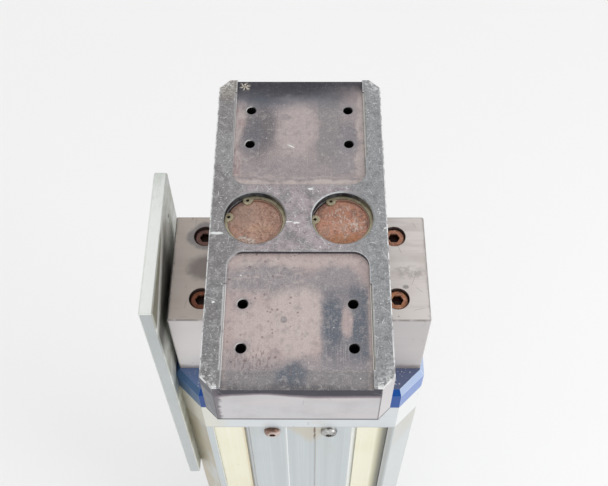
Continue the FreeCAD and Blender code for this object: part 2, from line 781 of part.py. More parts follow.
# Load plate: raised web with the rod bores, two pockets with ledges and eight tapped holes
def make_load_plate():
    outline = octagon("load_plate_width", "load_plate_length", "load_plate_corner")
    body = prism("load_plate", outline, "load_plate_thickness")
    break_edges(body, "Chamfer", "load_plate_edge", lambda edge: not upright(edge))
    half = "load_plate_length / 2"
    inner = "pocket_width / 2"
    for end in ("-", ""):
        sketch = new_sketch(body, "XY_Plane", "load_plate_thickness")
        draw_outline(sketch, box_between(f"-{inner}", inner, f"{end}(web_width / 2)", f"{end}({half})"))
        cut(sketch, "pocket_depth")
    corner_x = value(inner)
    corner_y = value("web_width / 2")

    def pocket_corner(edge):
        centre = edge.CenterOfMass
        off_x = abs(abs(centre.x) - corner_x)
        off_y = abs(abs(centre.y) - corner_y)
        return upright(edge) and off_x < NEAR and off_y < NEAR

    break_edges(body, "Fillet", "pocket_corner", pocket_corner)
    outer = f"{inner} + ledge_width"
    stop = f"{half} - ledge_margin"
    sketch = new_sketch(body, "XY_Plane", "load_plate_thickness")
    for side in ("-", ""):
        for end in ("-", ""):
            ledge = box_between(f"{side}({inner})", f"{side}({outer})", f"{end}ledge_start", f"{end}({stop})")
            draw_outline(sketch, ledge)
    cut(sketch, "ledge_depth")
    rods = at_sides(HALF_PITCH)
    bore = "rod_diameter + 2 * thread_clearance"
    drill(body, rods, bore, "load_plate_thickness", "load_plate_thickness")
    seat = "rod_head_diameter + 2 * seat_clearance"
    drill(body, rods, seat, "load_plate_thickness", "ring_recess + ring_thickness + rod_head_height")
    top = value("load_plate_thickness")
    mouth = value(seat) / 2

    def bore_mouth(edge):
        return at_height(edge, top) and abs(edge.BoundBox.XLength / 2 - mouth) < NEAR

    break_edges(body, "Chamfer", "load_plate_edge", bore_mouth)
    groove = "rod_head_diameter + 2 * ring_groove_depth"
    level = "load_plate_thickness - ring_recess + ring_play"
    drill(body, rods, groove, level, "ring_thickness + ring_play")
    rows = at_corners("load_bolt_spacing / 2", "load_bolt_row / 2")
    bolts = [(x, f"{end}load_bolt_offset + {y}") for end in ("-", "") for x, y in rows]
    drill(body, bolts, "load_bolt_diameter", "load_plate_thickness", "pocket_depth + load_bolt_depth")
    sink = "load_bolt_diameter + 2 * load_bolt_sink"
    countersink(body, bolts, sink, "load_plate_thickness - pocket_depth", "load_bolt_sink")
    keep(place(body, z=LOAD_LOW))


# Push rod with the head that sits in the load plate and the cross hole for the crosshead pin
def make_push_rod(side, x):
    low = f"{CROSSHEAD_TOP} - rod_seat_depth"
    length = f"{LOAD_TOP} - ring_recess - ring_thickness - ({low})"
    shank = f"{length} - rod_head_height"
    rod = turned(f"push_rod_{side}", [
        ("0", "0"),
        ("rod_diameter / 2 - rod_head_chamfer", "0"),
        ("rod_diameter / 2", "rod_head_chamfer"),
        ("rod_diameter / 2", shank),
        ("rod_head_diameter / 2", shank),
        ("rod_head_diameter / 2", f"{length} - rod_head_chamfer"),
        ("rod_head_diameter / 2 - rod_head_chamfer", length),
        ("0", length),
    ])
    pin_hole = "rod_pin_diameter + 2 * seat_clearance"
    pin_level = "rod_seat_depth - rod_pin_depth"
    drill(rod, [("0", pin_level)], pin_hole, "rod_diameter / 2", "rod_diameter", "XZ_Plane")
    keep(place(rod, x=x, z=low))


# Internal retaining ring: a flat band with a gap between two pierced lugs
def make_retaining_ring(side, x, turn):
    body = new_body(f"retaining_ring_{side}")
    sketch = new_sketch(body)
    draw_circles(sketch, [("0", "0")], RING_DIAMETER)
    draw_circles(sketch, [("0", "0")], f"{RING_DIAMETER} - 2 * ring_band")
    pad(sketch, "ring_thickness")
    half_gap = "ring_gap_angle / 2"
    wedge = [("0", "0")]
    for bearing in (f"{turn} - {half_gap}", turn, f"{turn} + {half_gap}"):
        wedge.append((f"{RING_DIAMETER} * cos({bearing})", f"{RING_DIAMETER} * sin({bearing})"))
    sketch = new_sketch(body, "XY_Plane", "ring_thickness")
    draw_outline(sketch, wedge)
    cut(sketch, "ring_thickness")
    reach = f"({RING_DIAMETER} - ring_lug_diameter) / 2"
    lugs = []
    for bearing in (f"{turn} - {half_gap}", f"{turn} + {half_gap}"):
        lugs.append((f"{reach} * cos({bearing})", f"{reach} * sin({bearing})"))
    for lug in lugs:
        sketch = new_sketch(body)
        draw_circles(sketch, [lug], "ring_lug_diameter")
        pad(sketch, "ring_thickness")
    drill(body, lugs, "ring_lug_hole", "ring_thickness", "ring_thickness")
    keep(place(body, x=x, z=f"{LOAD_TOP} - ring_recess - ring_thickness"))


# Plate screwed to the left side of the column
def make_side_plate():
    body = prism("side_plate", rectangle("side_plate_thickness", SIDE_PLATE_WIDTH), "side_plate_height")
    break_edges(body, "Chamfer", "side_plate_edge", lambda edge: edge.Length > 0)
    outer = "-side_plate_thickness / 2"
    hole = [("side_hole_offset", "side_plate_height - side_hole_drop")]
    drill(body, hole, "side_hole_diameter", outer, "side_plate_thickness", "YZ_Plane", up=True)
    middle = "side_screw_inset + side_screw_spacing / 2"
    rows = at_corners("side_screw_row / 2", "side_screw_spacing / 2")
    places = [(y, f"{middle} + {z}") for y, z in rows]
    clear_hole = "side_screw_thread + passing_clearance"
    drill(body, places, clear_hole, outer, "side_plate_thickness", "YZ_Plane", up=True)
    sink = "side_screw_head_diameter + passing_clearance"
    countersink(body, places, sink, outer, "side_screw_head_height", "YZ_Plane", up=True)
    half ="(column_width / 2 + side_plate_thickness / 2)"
    keep(place(body, x=f"-{half}", z=SIDE_PLATE_LOW))

    turned_places = [(z, y) for y, z in places]
    length = "side_plate_thickness + side_screw_engagement - hole_tip_clearance"
    bolts = screws(
        "side_plate_screws", turned_places, "side_screw_head_diameter", "side_screw_head_height",
        "side_screw_thread", length, ("side_screw_socket", "side_screw_socket_depth"), flat=True,
    )
    edge = "-(column_width / 2 + side_plate_thickness)"
    keep(place(bolts, x=edge, z=SIDE_PLATE_LOW, turn=(Vector(0, 1, 0), -90)))


# Crosshead with both rod seats, its guide shoes, pins and screws
def make_crosshead():
    outline = octagon(CROSSHEAD_WIDTH, CROSSHEAD_DEPTH, "crosshead_chamfer")
    body = prism("crosshead", outline, "crosshead_height")
    rods = at_sides(HALF_PITCH)
    drill(body, rods, "rod_diameter + 2 * seat_clearance", "crosshead_height", "rod_seat_depth")
    passage = "screw_diameter + 2 * passing_clearance"
    drill(body, [("0", "0")], passage, "crosshead_height", "crosshead_height")
    nut_bolts = on_circle(NUT_BOLT_CIRCLE, "nut_bolt_angle")
    depth = "small_engagement + hole_tip_clearance"
    drill(body, nut_bolts, SMALL_TAPPED, "0", depth, up=True)
    pin_level = "crosshead_height - rod_pin_depth"
    pins = [(x, pin_level) for x, _ in rods]
    pin_hole = "rod_pin_diameter + 2 * seat_clearance"
    drill(body, pins, pin_hole, f"{CROSSHEAD_DEPTH} / 2", CROSSHEAD_DEPTH, "XZ_Plane")
    shoe_bolts = [(y, "crosshead_height / 2") for y, _ in at_sides("shoe_screw_spacing / 2")]
    drill(body, shoe_bolts, SMALL_TAPPED, f"{CROSSHEAD_WIDTH} / 2", depth, "YZ_Plane")
    drill(body, shoe_bolts, SMALL_TAPPED, f"-{CROSSHEAD_WIDTH} / 2", depth, "YZ_Plane", up=True)
    keep(place(body, z=CROSSHEAD_LOW))

    pin_body = new_body("rod_pins")
    sketch = new_sketch(pin_body, "XZ_Plane", f"{CROSSHEAD_DEPTH} / 2")
    draw_circles(sketch, pins, "rod_pin_diameter")
    pad(sketch, CROSSHEAD_DEPTH, down=True)
    keep(place(pin_body, z=CROSSHEAD_LOW))

    recess = "small_head_height + hole_tip_clearance"
    for side, sign in (("left", "-"), ("right", "")):
        outline = rectangle("shoe_thickness", "shoe_depth")
        shoe = prism(f"guide_shoe_{side}", outline, "crosshead_height")
        face = f"{sign}shoe_thickness / 2"
        inward = side == "left"
        clear_hole = "small_thread + passing_clearance"
        drill(shoe, shoe_bolts, clear_hole, face, "shoe_thickness", "YZ_Plane", up=inward)
        drill(shoe, shoe_bolts, SMALL_HEAD_HOLE, face, recess, "YZ_Plane", up=inward)
        keep(place(shoe, x=f"{sign}({CROSSHEAD_WIDTH} + shoe_thickness) / 2", z=CROSSHEAD_LOW))
    bolts = []
    length = f"shoe_thickness - ({recess}) + small_engagement"
    for side, sign, angle in (("left", "-", -90), ("right", "", 90)):
        pair = [("0", y) for y, _ in at_sides("shoe_screw_spacing / 2")]
        bolt = screws(f"guide_shoe_screws_{side}", pair, *SMALL_HEAD, "small_thread", length, SMALL_SOCKET)
        seat = f"{sign}({CROSSHEAD_WIDTH} / 2 + shoe_thickness - ({recess}))"
        level = f"{CROSSHEAD_LOW} + crosshead_height / 2"
        bolts.append(place(bolt, x=seat, z=level, turn=(Vector(0, 1, 0), angle)))
    group("guide_shoe_screws", bolts)


# Flanged ball nut under the crosshead
def make_ball_nut():
    bore = "screw_diameter / 2 + thread_clearance"
    flange_top = "nut_length + nut_flange_height"
    body = turned("ball_nut", [
        (bore, "0"),
        ("nut_diameter / 2", "0"),
        ("nut_diameter / 2", "nut_length"),
        (f"{NUT_FLANGE} / 2", "nut_length"),
        (f"{NUT_FLANGE} / 2", flange_top),
        (bore, flange_top),
    ])
    places = on_circle(NUT_BOLT_CIRCLE, "nut_bolt_angle")
    drill(body, places, "small_thread + passing_clearance", flange_top, "nut_flange_height")
    keep(place(body, z=NUT_LOW))
    length = "nut_flange_height + small_engagement"
    bolts = screws("ball_nut_screws", places, *SMALL_HEAD, "small_thread", length, SMALL_SOCKET)
    keep(place(bolts, z=f"{NUT_LOW} + nut_length", turn=(Vector(1, 0, 0), 180)))


# Ball screw: coupling end, bearing seat, threaded length and top journal
def make_ball_screw():
    seat_top = "coupling_hub_length + coupling_gap + carrier_height"
    seat_low = f"{seat_top} - bearing_height - lock_nut_height"
    travel = f"{SPIGOT_LOW} - ({CARRIER_TOP})"
    thread_top = f"{seat_top} + {travel} - bush_flange_height - slide_clearance"
    tip = f"{thread_top} + bush_flange_height + slide_clearance + bush_length"
    body = turned("ball_screw", [
        ("0", "0"),
        ("coupling_bore / 2", "0"),
        ("coupling_bore / 2", seat_low),
        ("bearing_bore / 2", seat_low),
        ("bearing_bore / 2", seat_top),
        ("screw_diameter / 2", seat_top),
        ("screw_diameter / 2", thread_top),
        ("screw_top_diameter / 2", thread_top),
        ("screw_top_diameter / 2", tip),
        ("0", tip),
    ])
    keep(place(body, z=f"{CARRIER_LOW} - coupling_gap - coupling_hub_length"))


def roller_ring(label, rib, race, back):
    """Bearing ring with a roller channel between two ribs, from the radii of its ribs, race and back."""
    low = "(bearing_height - roller_length) / 2 - running_clearance"
    high = "(bearing_height + roller_length) / 2 + running_clearance"
    return turned(label, [
        (rib, "0"),
        (back, "0"),
        (back, "bearing_height"),
        (rib, "bearing_height"),
        (rib, high),
        (race, high),
        (race, low),
        (rib, low),
    ])


# Bearing carrier fixed across the cavity, with its bearing, cap and lock nut
def make_bearing_carrier():
    body = prism("bearing_carrier", cavity_outline(), "carrier_height")
    axis = [("0", "0")]
    drill(body, axis, "carrier_bore", "carrier_height", "carrier_height")
    drill(body, axis, "bearing_diameter + 2 * seat_clearance", "carrier_height", "bearing_height")
    cap_bolts = on_circle(CAP_BOLT_CIRCLE, "45")
    drill(body, cap_bolts, SMALL_TAPPED, "carrier_height", "small_engagement + hole_tip_clearance")
    motor_bolts = at_corners(f"{MOTOR_BOLTS} / 2", f"{MOTOR_BOLTS} / 2")
    depth = "motor_bolt_engagement + hole_tip_clearance"
    drill(body, motor_bolts, MOTOR_BOLT_TAPPED, "0", depth, up=True)
    drill_button_seats(body, "carrier_height / 2")
    keep(place(body, z=CARRIER_LOW))
    button_screws("carrier_screws", f"{CARRIER_LOW} + carrier_height / 2")

    cap = ring("bearing_cap", "cap_bore", CAP_DIAMETER, "cap_height")
    drill(cap, cap_bolts, "small_thread + passing_clearance", "cap_height", "cap_height")
    drill(cap, cap_bolts, SMALL_HEAD_HOLE, "cap_height", "small_head_height")
    keep(place(cap, z=CARRIER_TOP))
    length = "cap_height - small_head_height + small_engagement"
    bolts = screws("bearing_cap_screws", cap_bolts, *SMALL_HEAD, "small_thread", length, SMALL_SOCKET)
    keep(place(bolts, z=f"{CARRIER_TOP} + cap_height - small_head_height"))

    low = f"{CARRIER_TOP} - bearing_height"
    pitch_radius = "(bearing_diameter + bearing_bore) / 4"
    reach = "(roller_diameter / 2 + running_clearance)"
    outer_back = "bearing_diameter / 2"
    outer_rib = f"{outer_back} - bearing_ring"
    outer = roller_ring("thrust_bearing_outer", outer_rib, f"{pitch_radius} + {reach}", outer_back)
    keep(place(outer, z=low))
    inner_back = "bearing_bore / 2 + seat_clearance"
    inner_rib = "bearing_bore / 2 + bearing_ring"
    inner = roller_ring("thrust_bearing_inner", inner_rib, f"{pitch_radius} - {reach}", inner_back)
    keep(place(inner, z=low))

    count = round(value("roller_count"))
    angles = [step * 360 / count for step in range(count)]
    rollers = new_body("thrust_bearing_rollers")
    sketch = new_sketch(rollers, "XY_Plane", "(bearing_height - roller_length) / 2")
    row = [(f"{pitch_radius} * cos({angle})", f"{pitch_radius} * sin({angle})") for angle in angles]
    draw_circles(sketch, row, "roller_diameter")
    pad(sketch, "roller_length")
    keep(place(rollers, z=low))

    nut_bore = "bearing_bore + 2 * thread_clearance"
    lock_nut = ring("bearing_lock_nut", nut_bore, "lock_nut_diameter", "lock_nut_height")
    keep(place(lock_nut, z=f"{low} - lock_nut_height"))


def sector(middle, half_angle, inner):
    """Outline of a sector about the axis, from an inner radius to beyond the coupling."""
    outer = "coupling_diameter"
    low = f"{middle} - ({half_angle})"
    high = f"{middle} + ({half_angle})"
    bearings = ((inner, low), (outer, low), (outer, middle), (outer, high), (inner, high))
    return [(f"{radius} * cos({angle})", f"{radius} * sin({angle})") for radius, angle in bearings]


# Jaw coupling between screw and motor: two hubs with three jaws each, and a spider with a leg in each space
def make_coupling():
    low = f"{LANTERN_LOW} + coupling_gap"
    bore = "coupling_bore + 2 * seat_clearance"
    jaw_height = "(coupling_spider_height - passing_clearance)"
    whole = f"coupling_hub_length + {jaw_height}"
    half_jaw = "(30 - leg_angle / 2 - jaw_play)"
    hubs = {}
    for name, spaces in (("lower", (60, 180, 300)), ("upper", (0, 120, 240))):
        hub = ring(f"coupling_hub_{name}", bore, "coupling_diameter", whole)
        drill(hub, [("0", "0")], "spider_core + 2 * seat_clearance", whole, jaw_height)
        sketch = new_sketch(hub, "XY_Plane", whole)
        for space in spaces:
            draw_outline(sketch, sector(space, f"60 - {half_jaw}", "spider_bore / 2"))
        cut(sketch, jaw_height)
        hubs[name] = hub
    keep(place(hubs["lower"], z=low))
    top = f"{low} + 2 * coupling_hub_length + coupling_spider_height"
    keep(place(hubs["upper"], z=top, turn=(Vector(1, 0, 0), 180)))

    spider = ring("coupling_spider", "spider_bore", "coupling_diameter", "coupling_spider_height")
    sketch = new_sketch(spider, "XY_Plane", "coupling_spider_height")
    for space in range(0, 360, 60):
        draw_outline(sketch, sector(space, "30 - leg_angle / 2", "spider_core / 2"))
    cut(sketch, "coupling_spider_height")
    keep(place(spider, z=f"{low} + coupling_hub_length"))


# Lantern with windows, hung under the bearing carrier
def make_motor_lantern():
    body = prism("motor_lantern", octagon(LANTERN_WIDTH, LANTERN_WIDTH, "flange_chamfer"), LANTERN_HEIGHT)
    drill(body, [("0", "0")], "lantern_bore", LANTERN_HEIGHT, LANTERN_HEIGHT)
    places = at_corners(f"{MOTOR_BOLTS} / 2", f"{MOTOR_BOLTS} / 2")
    clear_hole = "motor_bolt_thread + passing_clearance"
    drill(body, places, clear_hole, LANTERN_HEIGHT, LANTERN_HEIGHT)
    middle = f"{LANTERN_HEIGHT} / 2"
    half = "lantern_window_height / 2"
    sketch = new_sketch(body, "XZ_Plane", f"{LANTERN_WIDTH} / 2")
    wide = "lantern_window_width / 2"
    draw_outline(sketch, box_between(f"-{wide}", wide, f"{middle} - {half}", f"{middle} + {half}"))
    cut(sketch, LANTERN_WIDTH)
    keep(place(body, z=LANTERN_LOW))
    length = f"motor_flange + {LANTERN_HEIGHT} + motor_bolt_engagement"
    head = ("motor_bolt_head_diameter", "motor_bolt_head_height")
    socket = ("motor_bolt_socket", "motor_bolt_socket_depth")
    bolts = screws("motor_screws", places, *head, "motor_bolt_thread", length, socket)
    keep(place(bolts, z=FLANGE_LOW, turn=(Vector(1, 0, 0), 180)))


# Motor: flanged housing, rear cover, rotor with its shaft, and two bearings
def make_motor():
    outline = octagon(MOTOR_WIDTH, MOTOR_WIDTH, MOTOR_CHAMFER)
    body = prism("motor_body", outline, "motor_length")
    sketch = new_sketch(body, "XY_Plane", "motor_length")
    draw_outline(sketch, octagon(LANTERN_WIDTH, LANTERN_WIDTH, "flange_chamfer"))
    pad(sketch, "motor_flange")
    axis = [("0", "0")]
    whole = "motor_length + motor_flange"
    drill(body, axis, "motor_bearing_bore + 2 * passing_clearance", whole, whole)
    chamber_top = "motor_length - chamber_roof"
    drill(body, axis, "rotor_diameter + 2 * rotor_air_gap", "0", chamber_top, up=True)
    seat = "motor_bearing_diameter + 2 * seat_clearance"
    drill(body, axis, seat, chamber_top, "motor_bearing_height", up=True)
    places = at_corners(f"{MOTOR_BOLTS} / 2", f"{MOTOR_BOLTS} / 2")
    clear_hole = "motor_bolt_thread + passing_clearance"
    drill(body, places, clear_hole, whole, "motor_flange")
    keep(place(body, z=BODY_LOW))

    cover = prism("motor_rear_cover", outline, "rear_cover_height")
    drill(cover, axis, seat, "rear_cover_height", "motor_bearing_height")
    keep(place(cover, z=MOTOR_LOW))

    front_level = f"{BODY_LOW} + {chamber_top}"
    rear_level = f"{BODY_LOW} - motor_bearing_height"
    bearing_bore = "motor_bearing_bore + 2 * running_clearance"
    bearings = []
    for end, level in (("front", front_level), ("rear", rear_level)):
        race = ring(f"motor_bearings_{end}", bearing_bore, "motor_bearing_diameter", "motor_bearing_height")
        bearings.append(place(race, z=level))
    group("motor_bearings", bearings)

    rotor_low = "motor_bearing_height + rotor_inset"
    rotor_top = f"motor_bearing_height + {chamber_top} - rotor_inset"
    journal_top = f"motor_bearing_height + {whole}"
    shaft_top = f"{journal_top} + coupling_gap + coupling_hub_length"
    rotor = turned("motor_rotor", [
        ("0", "0"),
        ("motor_bearing_bore / 2", "0"),
        ("motor_bearing_bore / 2", rotor_low),
        ("rotor_diameter / 2", rotor_low),
        ("rotor_diameter / 2", rotor_top),
        ("motor_bearing_bore / 2", rotor_top),
        ("motor_bearing_bore / 2", journal_top),
        ("coupling_bore / 2", journal_top),
        ("coupling_bore / 2", shaft_top),
        ("0", shaft_top),
    ])
    keep(place(rotor, z=rear_level))


# Electrical socket on the rear face: flanged barrel, insert with four contact pins and four screws
def make_power_socket():
    body = new_body("power_socket")
    sketch = new_sketch(body)
    draw_outline(sketch, octagon("socket_flange", "socket_flange", "socket_corner"))
    pad(sketch, "socket_flange_thickness")
    sketch = new_sketch(body, "XY_Plane", "socket_flange_thickness")
    axis = [("0", "0")]
    draw_circles(sketch, axis, "socket_barrel_diameter")
    pad(sketch, "socket_barrel_length")
    sketch = new_sketch(body)
    draw_circles(sketch, axis, "socket_spigot_diameter")
    pad(sketch, "front_wall", down=True)
    top = "socket_flange_thickness + socket_barrel_length"
    insert_hole = "socket_barrel_diameter - 2 * socket_rim"
    drill(body, axis, insert_hole, top, "socket_rim_depth + socket_insert_height")
    places = at_corners("socket_bolt_spacing / 2", "socket_bolt_spacing / 2")
    clear_hole = "socket_bolt_thread + 4 * thread_clearance"
    drill(body, places, clear_hole, "socket_flange_thickness", "socket_flange_thickness")
    rear = "column_depth / 2"
    level = "foot_thickness + socket_level"
    outward = (Vector(1, 0, 0), -90)
    keep(place(body, y=rear, z=level, turn=outward))

    insert = new_body("power_socket_insert")
    face = f"{top} - socket_rim_depth"
    sketch = new_sketch(insert, "XY_Plane", face)
    draw_circles(sketch, axis, f"{insert_hole} - 2 * seat_clearance")
    pad(sketch, "socket_insert_height", down=True)
    pins = at_corners("socket_pin_spacing / 2", "socket_pin_spacing / 2")
    drill(insert, pins, "socket_pin_diameter + 2 * seat_clearance", face, "socket_pin_seat")
    keep(place(insert, y=rear, z=level, turn=outward))

    contacts = new_body("power_socket_pins")
    sketch = new_sketch(contacts, "XY_Plane", f"{face} - socket_pin_seat")
    draw_circles(sketch, pins, "socket_pin_diameter")
    pad(sketch, "socket_pin_seat + socket_pin_length")
    tips = value(f"{face} + socket_pin_length")
    break_edges(contacts, "Chamfer", "socket_pin_tip", lambda edge: at_height(edge, tips))
    keep(place(contacts, y=rear, z=level, turn=outward))

    length = "socket_flange_thickness + socket_bolt_engagement - thread_clearance"
    bolts = screws(
        "power_socket_screws", places, "socket_bolt_head_diameter", "socket_bolt_head_height",
        "socket_bolt_thread", length, ("socket_bolt_socket", "socket_bolt_socket_depth"),
    )
    keep(place(bolts, y=f"{rear} + socket_flange_thickness", z=level, turn=outward))


def check_and_write():
    """Stop at any failed object or faulty shape, then write each node to its file."""
    doc.recompute()
    for thing in doc.Objects:
        if "Invalid" in thing.State or "Error" in thing.State:
            raise RuntimeError(f"{thing.Label} failed: {thing.State}")
    for label, thing in nodes.items():
        if thing.Shape.isNull() or not thing.Shape.isValid() or not thing.Shape.Solids:
            raise RuntimeError(f"{label} has no valid shape")
    os.makedirs("parts", exist_ok=True)
    for label, thing in nodes.items():
        thing.Shape.exportStep(f"parts/{label}.step")


make_foot_plate()
make_housing_profile()
make_slot_strips()
make_top_end_plate()
make_cover_plate()
make_guide_block()
make_load_plate()
for name, centre, opening in (
    ("left", f"-{HALF_PITCH}", "ring_turn_left"),
    ("right", HALF_PITCH, "ring_turn_right"),
):
    make_rod_guides(name, centre)
    make_push_rod(name, centre)
    make_retaining_ring(name, centre, opening)
make_side_plate()
make_crosshead()
make_ball_nut()
make_ball_screw()
make_bearing_carrier()
make_coupling()
make_motor_lantern()
make_motor()
make_power_socket()
check_and_write()
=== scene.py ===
"""Looks of the upright electric linear actuator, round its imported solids. Metres, +Z up, front to -Y."""

import json
import math
from functools import partial

import bpy
from mathutils import Matrix, Vector


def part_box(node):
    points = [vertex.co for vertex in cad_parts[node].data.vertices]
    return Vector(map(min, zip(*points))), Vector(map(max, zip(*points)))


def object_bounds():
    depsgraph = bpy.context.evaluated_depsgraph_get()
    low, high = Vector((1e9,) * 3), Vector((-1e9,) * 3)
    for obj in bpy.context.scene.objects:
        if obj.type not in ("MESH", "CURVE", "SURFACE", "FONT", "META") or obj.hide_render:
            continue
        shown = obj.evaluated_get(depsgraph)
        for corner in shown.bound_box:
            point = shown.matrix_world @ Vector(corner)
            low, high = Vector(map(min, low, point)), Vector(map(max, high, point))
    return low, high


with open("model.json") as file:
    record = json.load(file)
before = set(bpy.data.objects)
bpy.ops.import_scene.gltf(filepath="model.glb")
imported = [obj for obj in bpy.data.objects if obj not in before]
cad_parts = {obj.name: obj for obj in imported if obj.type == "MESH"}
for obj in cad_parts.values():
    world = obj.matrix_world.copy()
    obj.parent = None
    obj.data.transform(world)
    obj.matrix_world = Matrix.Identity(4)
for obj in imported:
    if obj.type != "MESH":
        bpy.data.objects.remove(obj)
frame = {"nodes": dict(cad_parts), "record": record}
cad_low, cad_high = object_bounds()
NODES = frame["nodes"]
SCENE = bpy.context.scene

MM = 0.001


def box_mm(node):
    """Lowest and highest corner of a node in millimetres."""
    low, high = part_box(node)
    return low / MM, high / MM


# Places that the materials refer to, in millimetres
LOAD_LOW, LOAD_HIGH = box_mm("load_plate")
STRIP_LOW, STRIP_HIGH = box_mm("slot_strip_front_right")
SIDE_LOW, SIDE_HIGH = box_mm("side_plate")
ROD_LOW, ROD_HIGH = box_mm("push_rod_right")
BLOCK_LOW, _ = box_mm("guide_block")
_, PROFILE_HIGH = box_mm("housing_profile")
_, CAP_HIGH = box_mm("guide_block_screws")
ROD_X = (ROD_LOW.x + ROD_HIGH.x) / 2

# Pockets of the load plate: half width, inner end, depths of the floor and of the side ledges, then how far
# off its depth a face of the floor may lie and the least upward share of its normal
POCKET_HALF = 47.0
POCKET_START = 27.6
POCKET_DEPTH = 2.6
LEDGE_DEPTH = 1.3
DEPTH_SLACK = 0.3
LEAST_UP = 0.9

# Tapped holes of the load plate: centres of their groups, half their spacing along y, and reach
HOLE_X = 35.75
HOLE_Y = 81.7
HOLE_STEP = 15.85
HOLE_REACH = 3.6

# Reach of the load plate's rod bores, size of its corner chamfers, and its burst of scratches
BORE_REACH = 25.5
CORNER = 8.0
BURST_X = -41.5
BURST_Y = 121.3

# Bright gouges in the rails and web: centre, then half lengths along x and y
GOUGES = (
    (-55.5, -13.0, 4.4, 1.1),
    (-7.0, -3.6, 3.0, 0.5),
    (-1.5, -4.4, 2.6, 0.7),
    (8.0, 24.0, 1.8, 0.8),
    (-54.5, -66.0, 0.9, 0.8),
)

# Retaining rings: inner reach, and where the holes of their lugs lie about the rods, in degrees
RING_REACH = 18.05
LUG_REACH = 18.85
LUG_TURNS = {-1: (108.0, 168.0), 1: (114.0, 174.0)}

# Column: half the width of its shallow middle groove
GROOVE_HALF = 11.75

# Guide block: its counterbored screws
SCREW_X = 71.5
SCREW_Y = 27.0
SCREW_REACH = 9.2


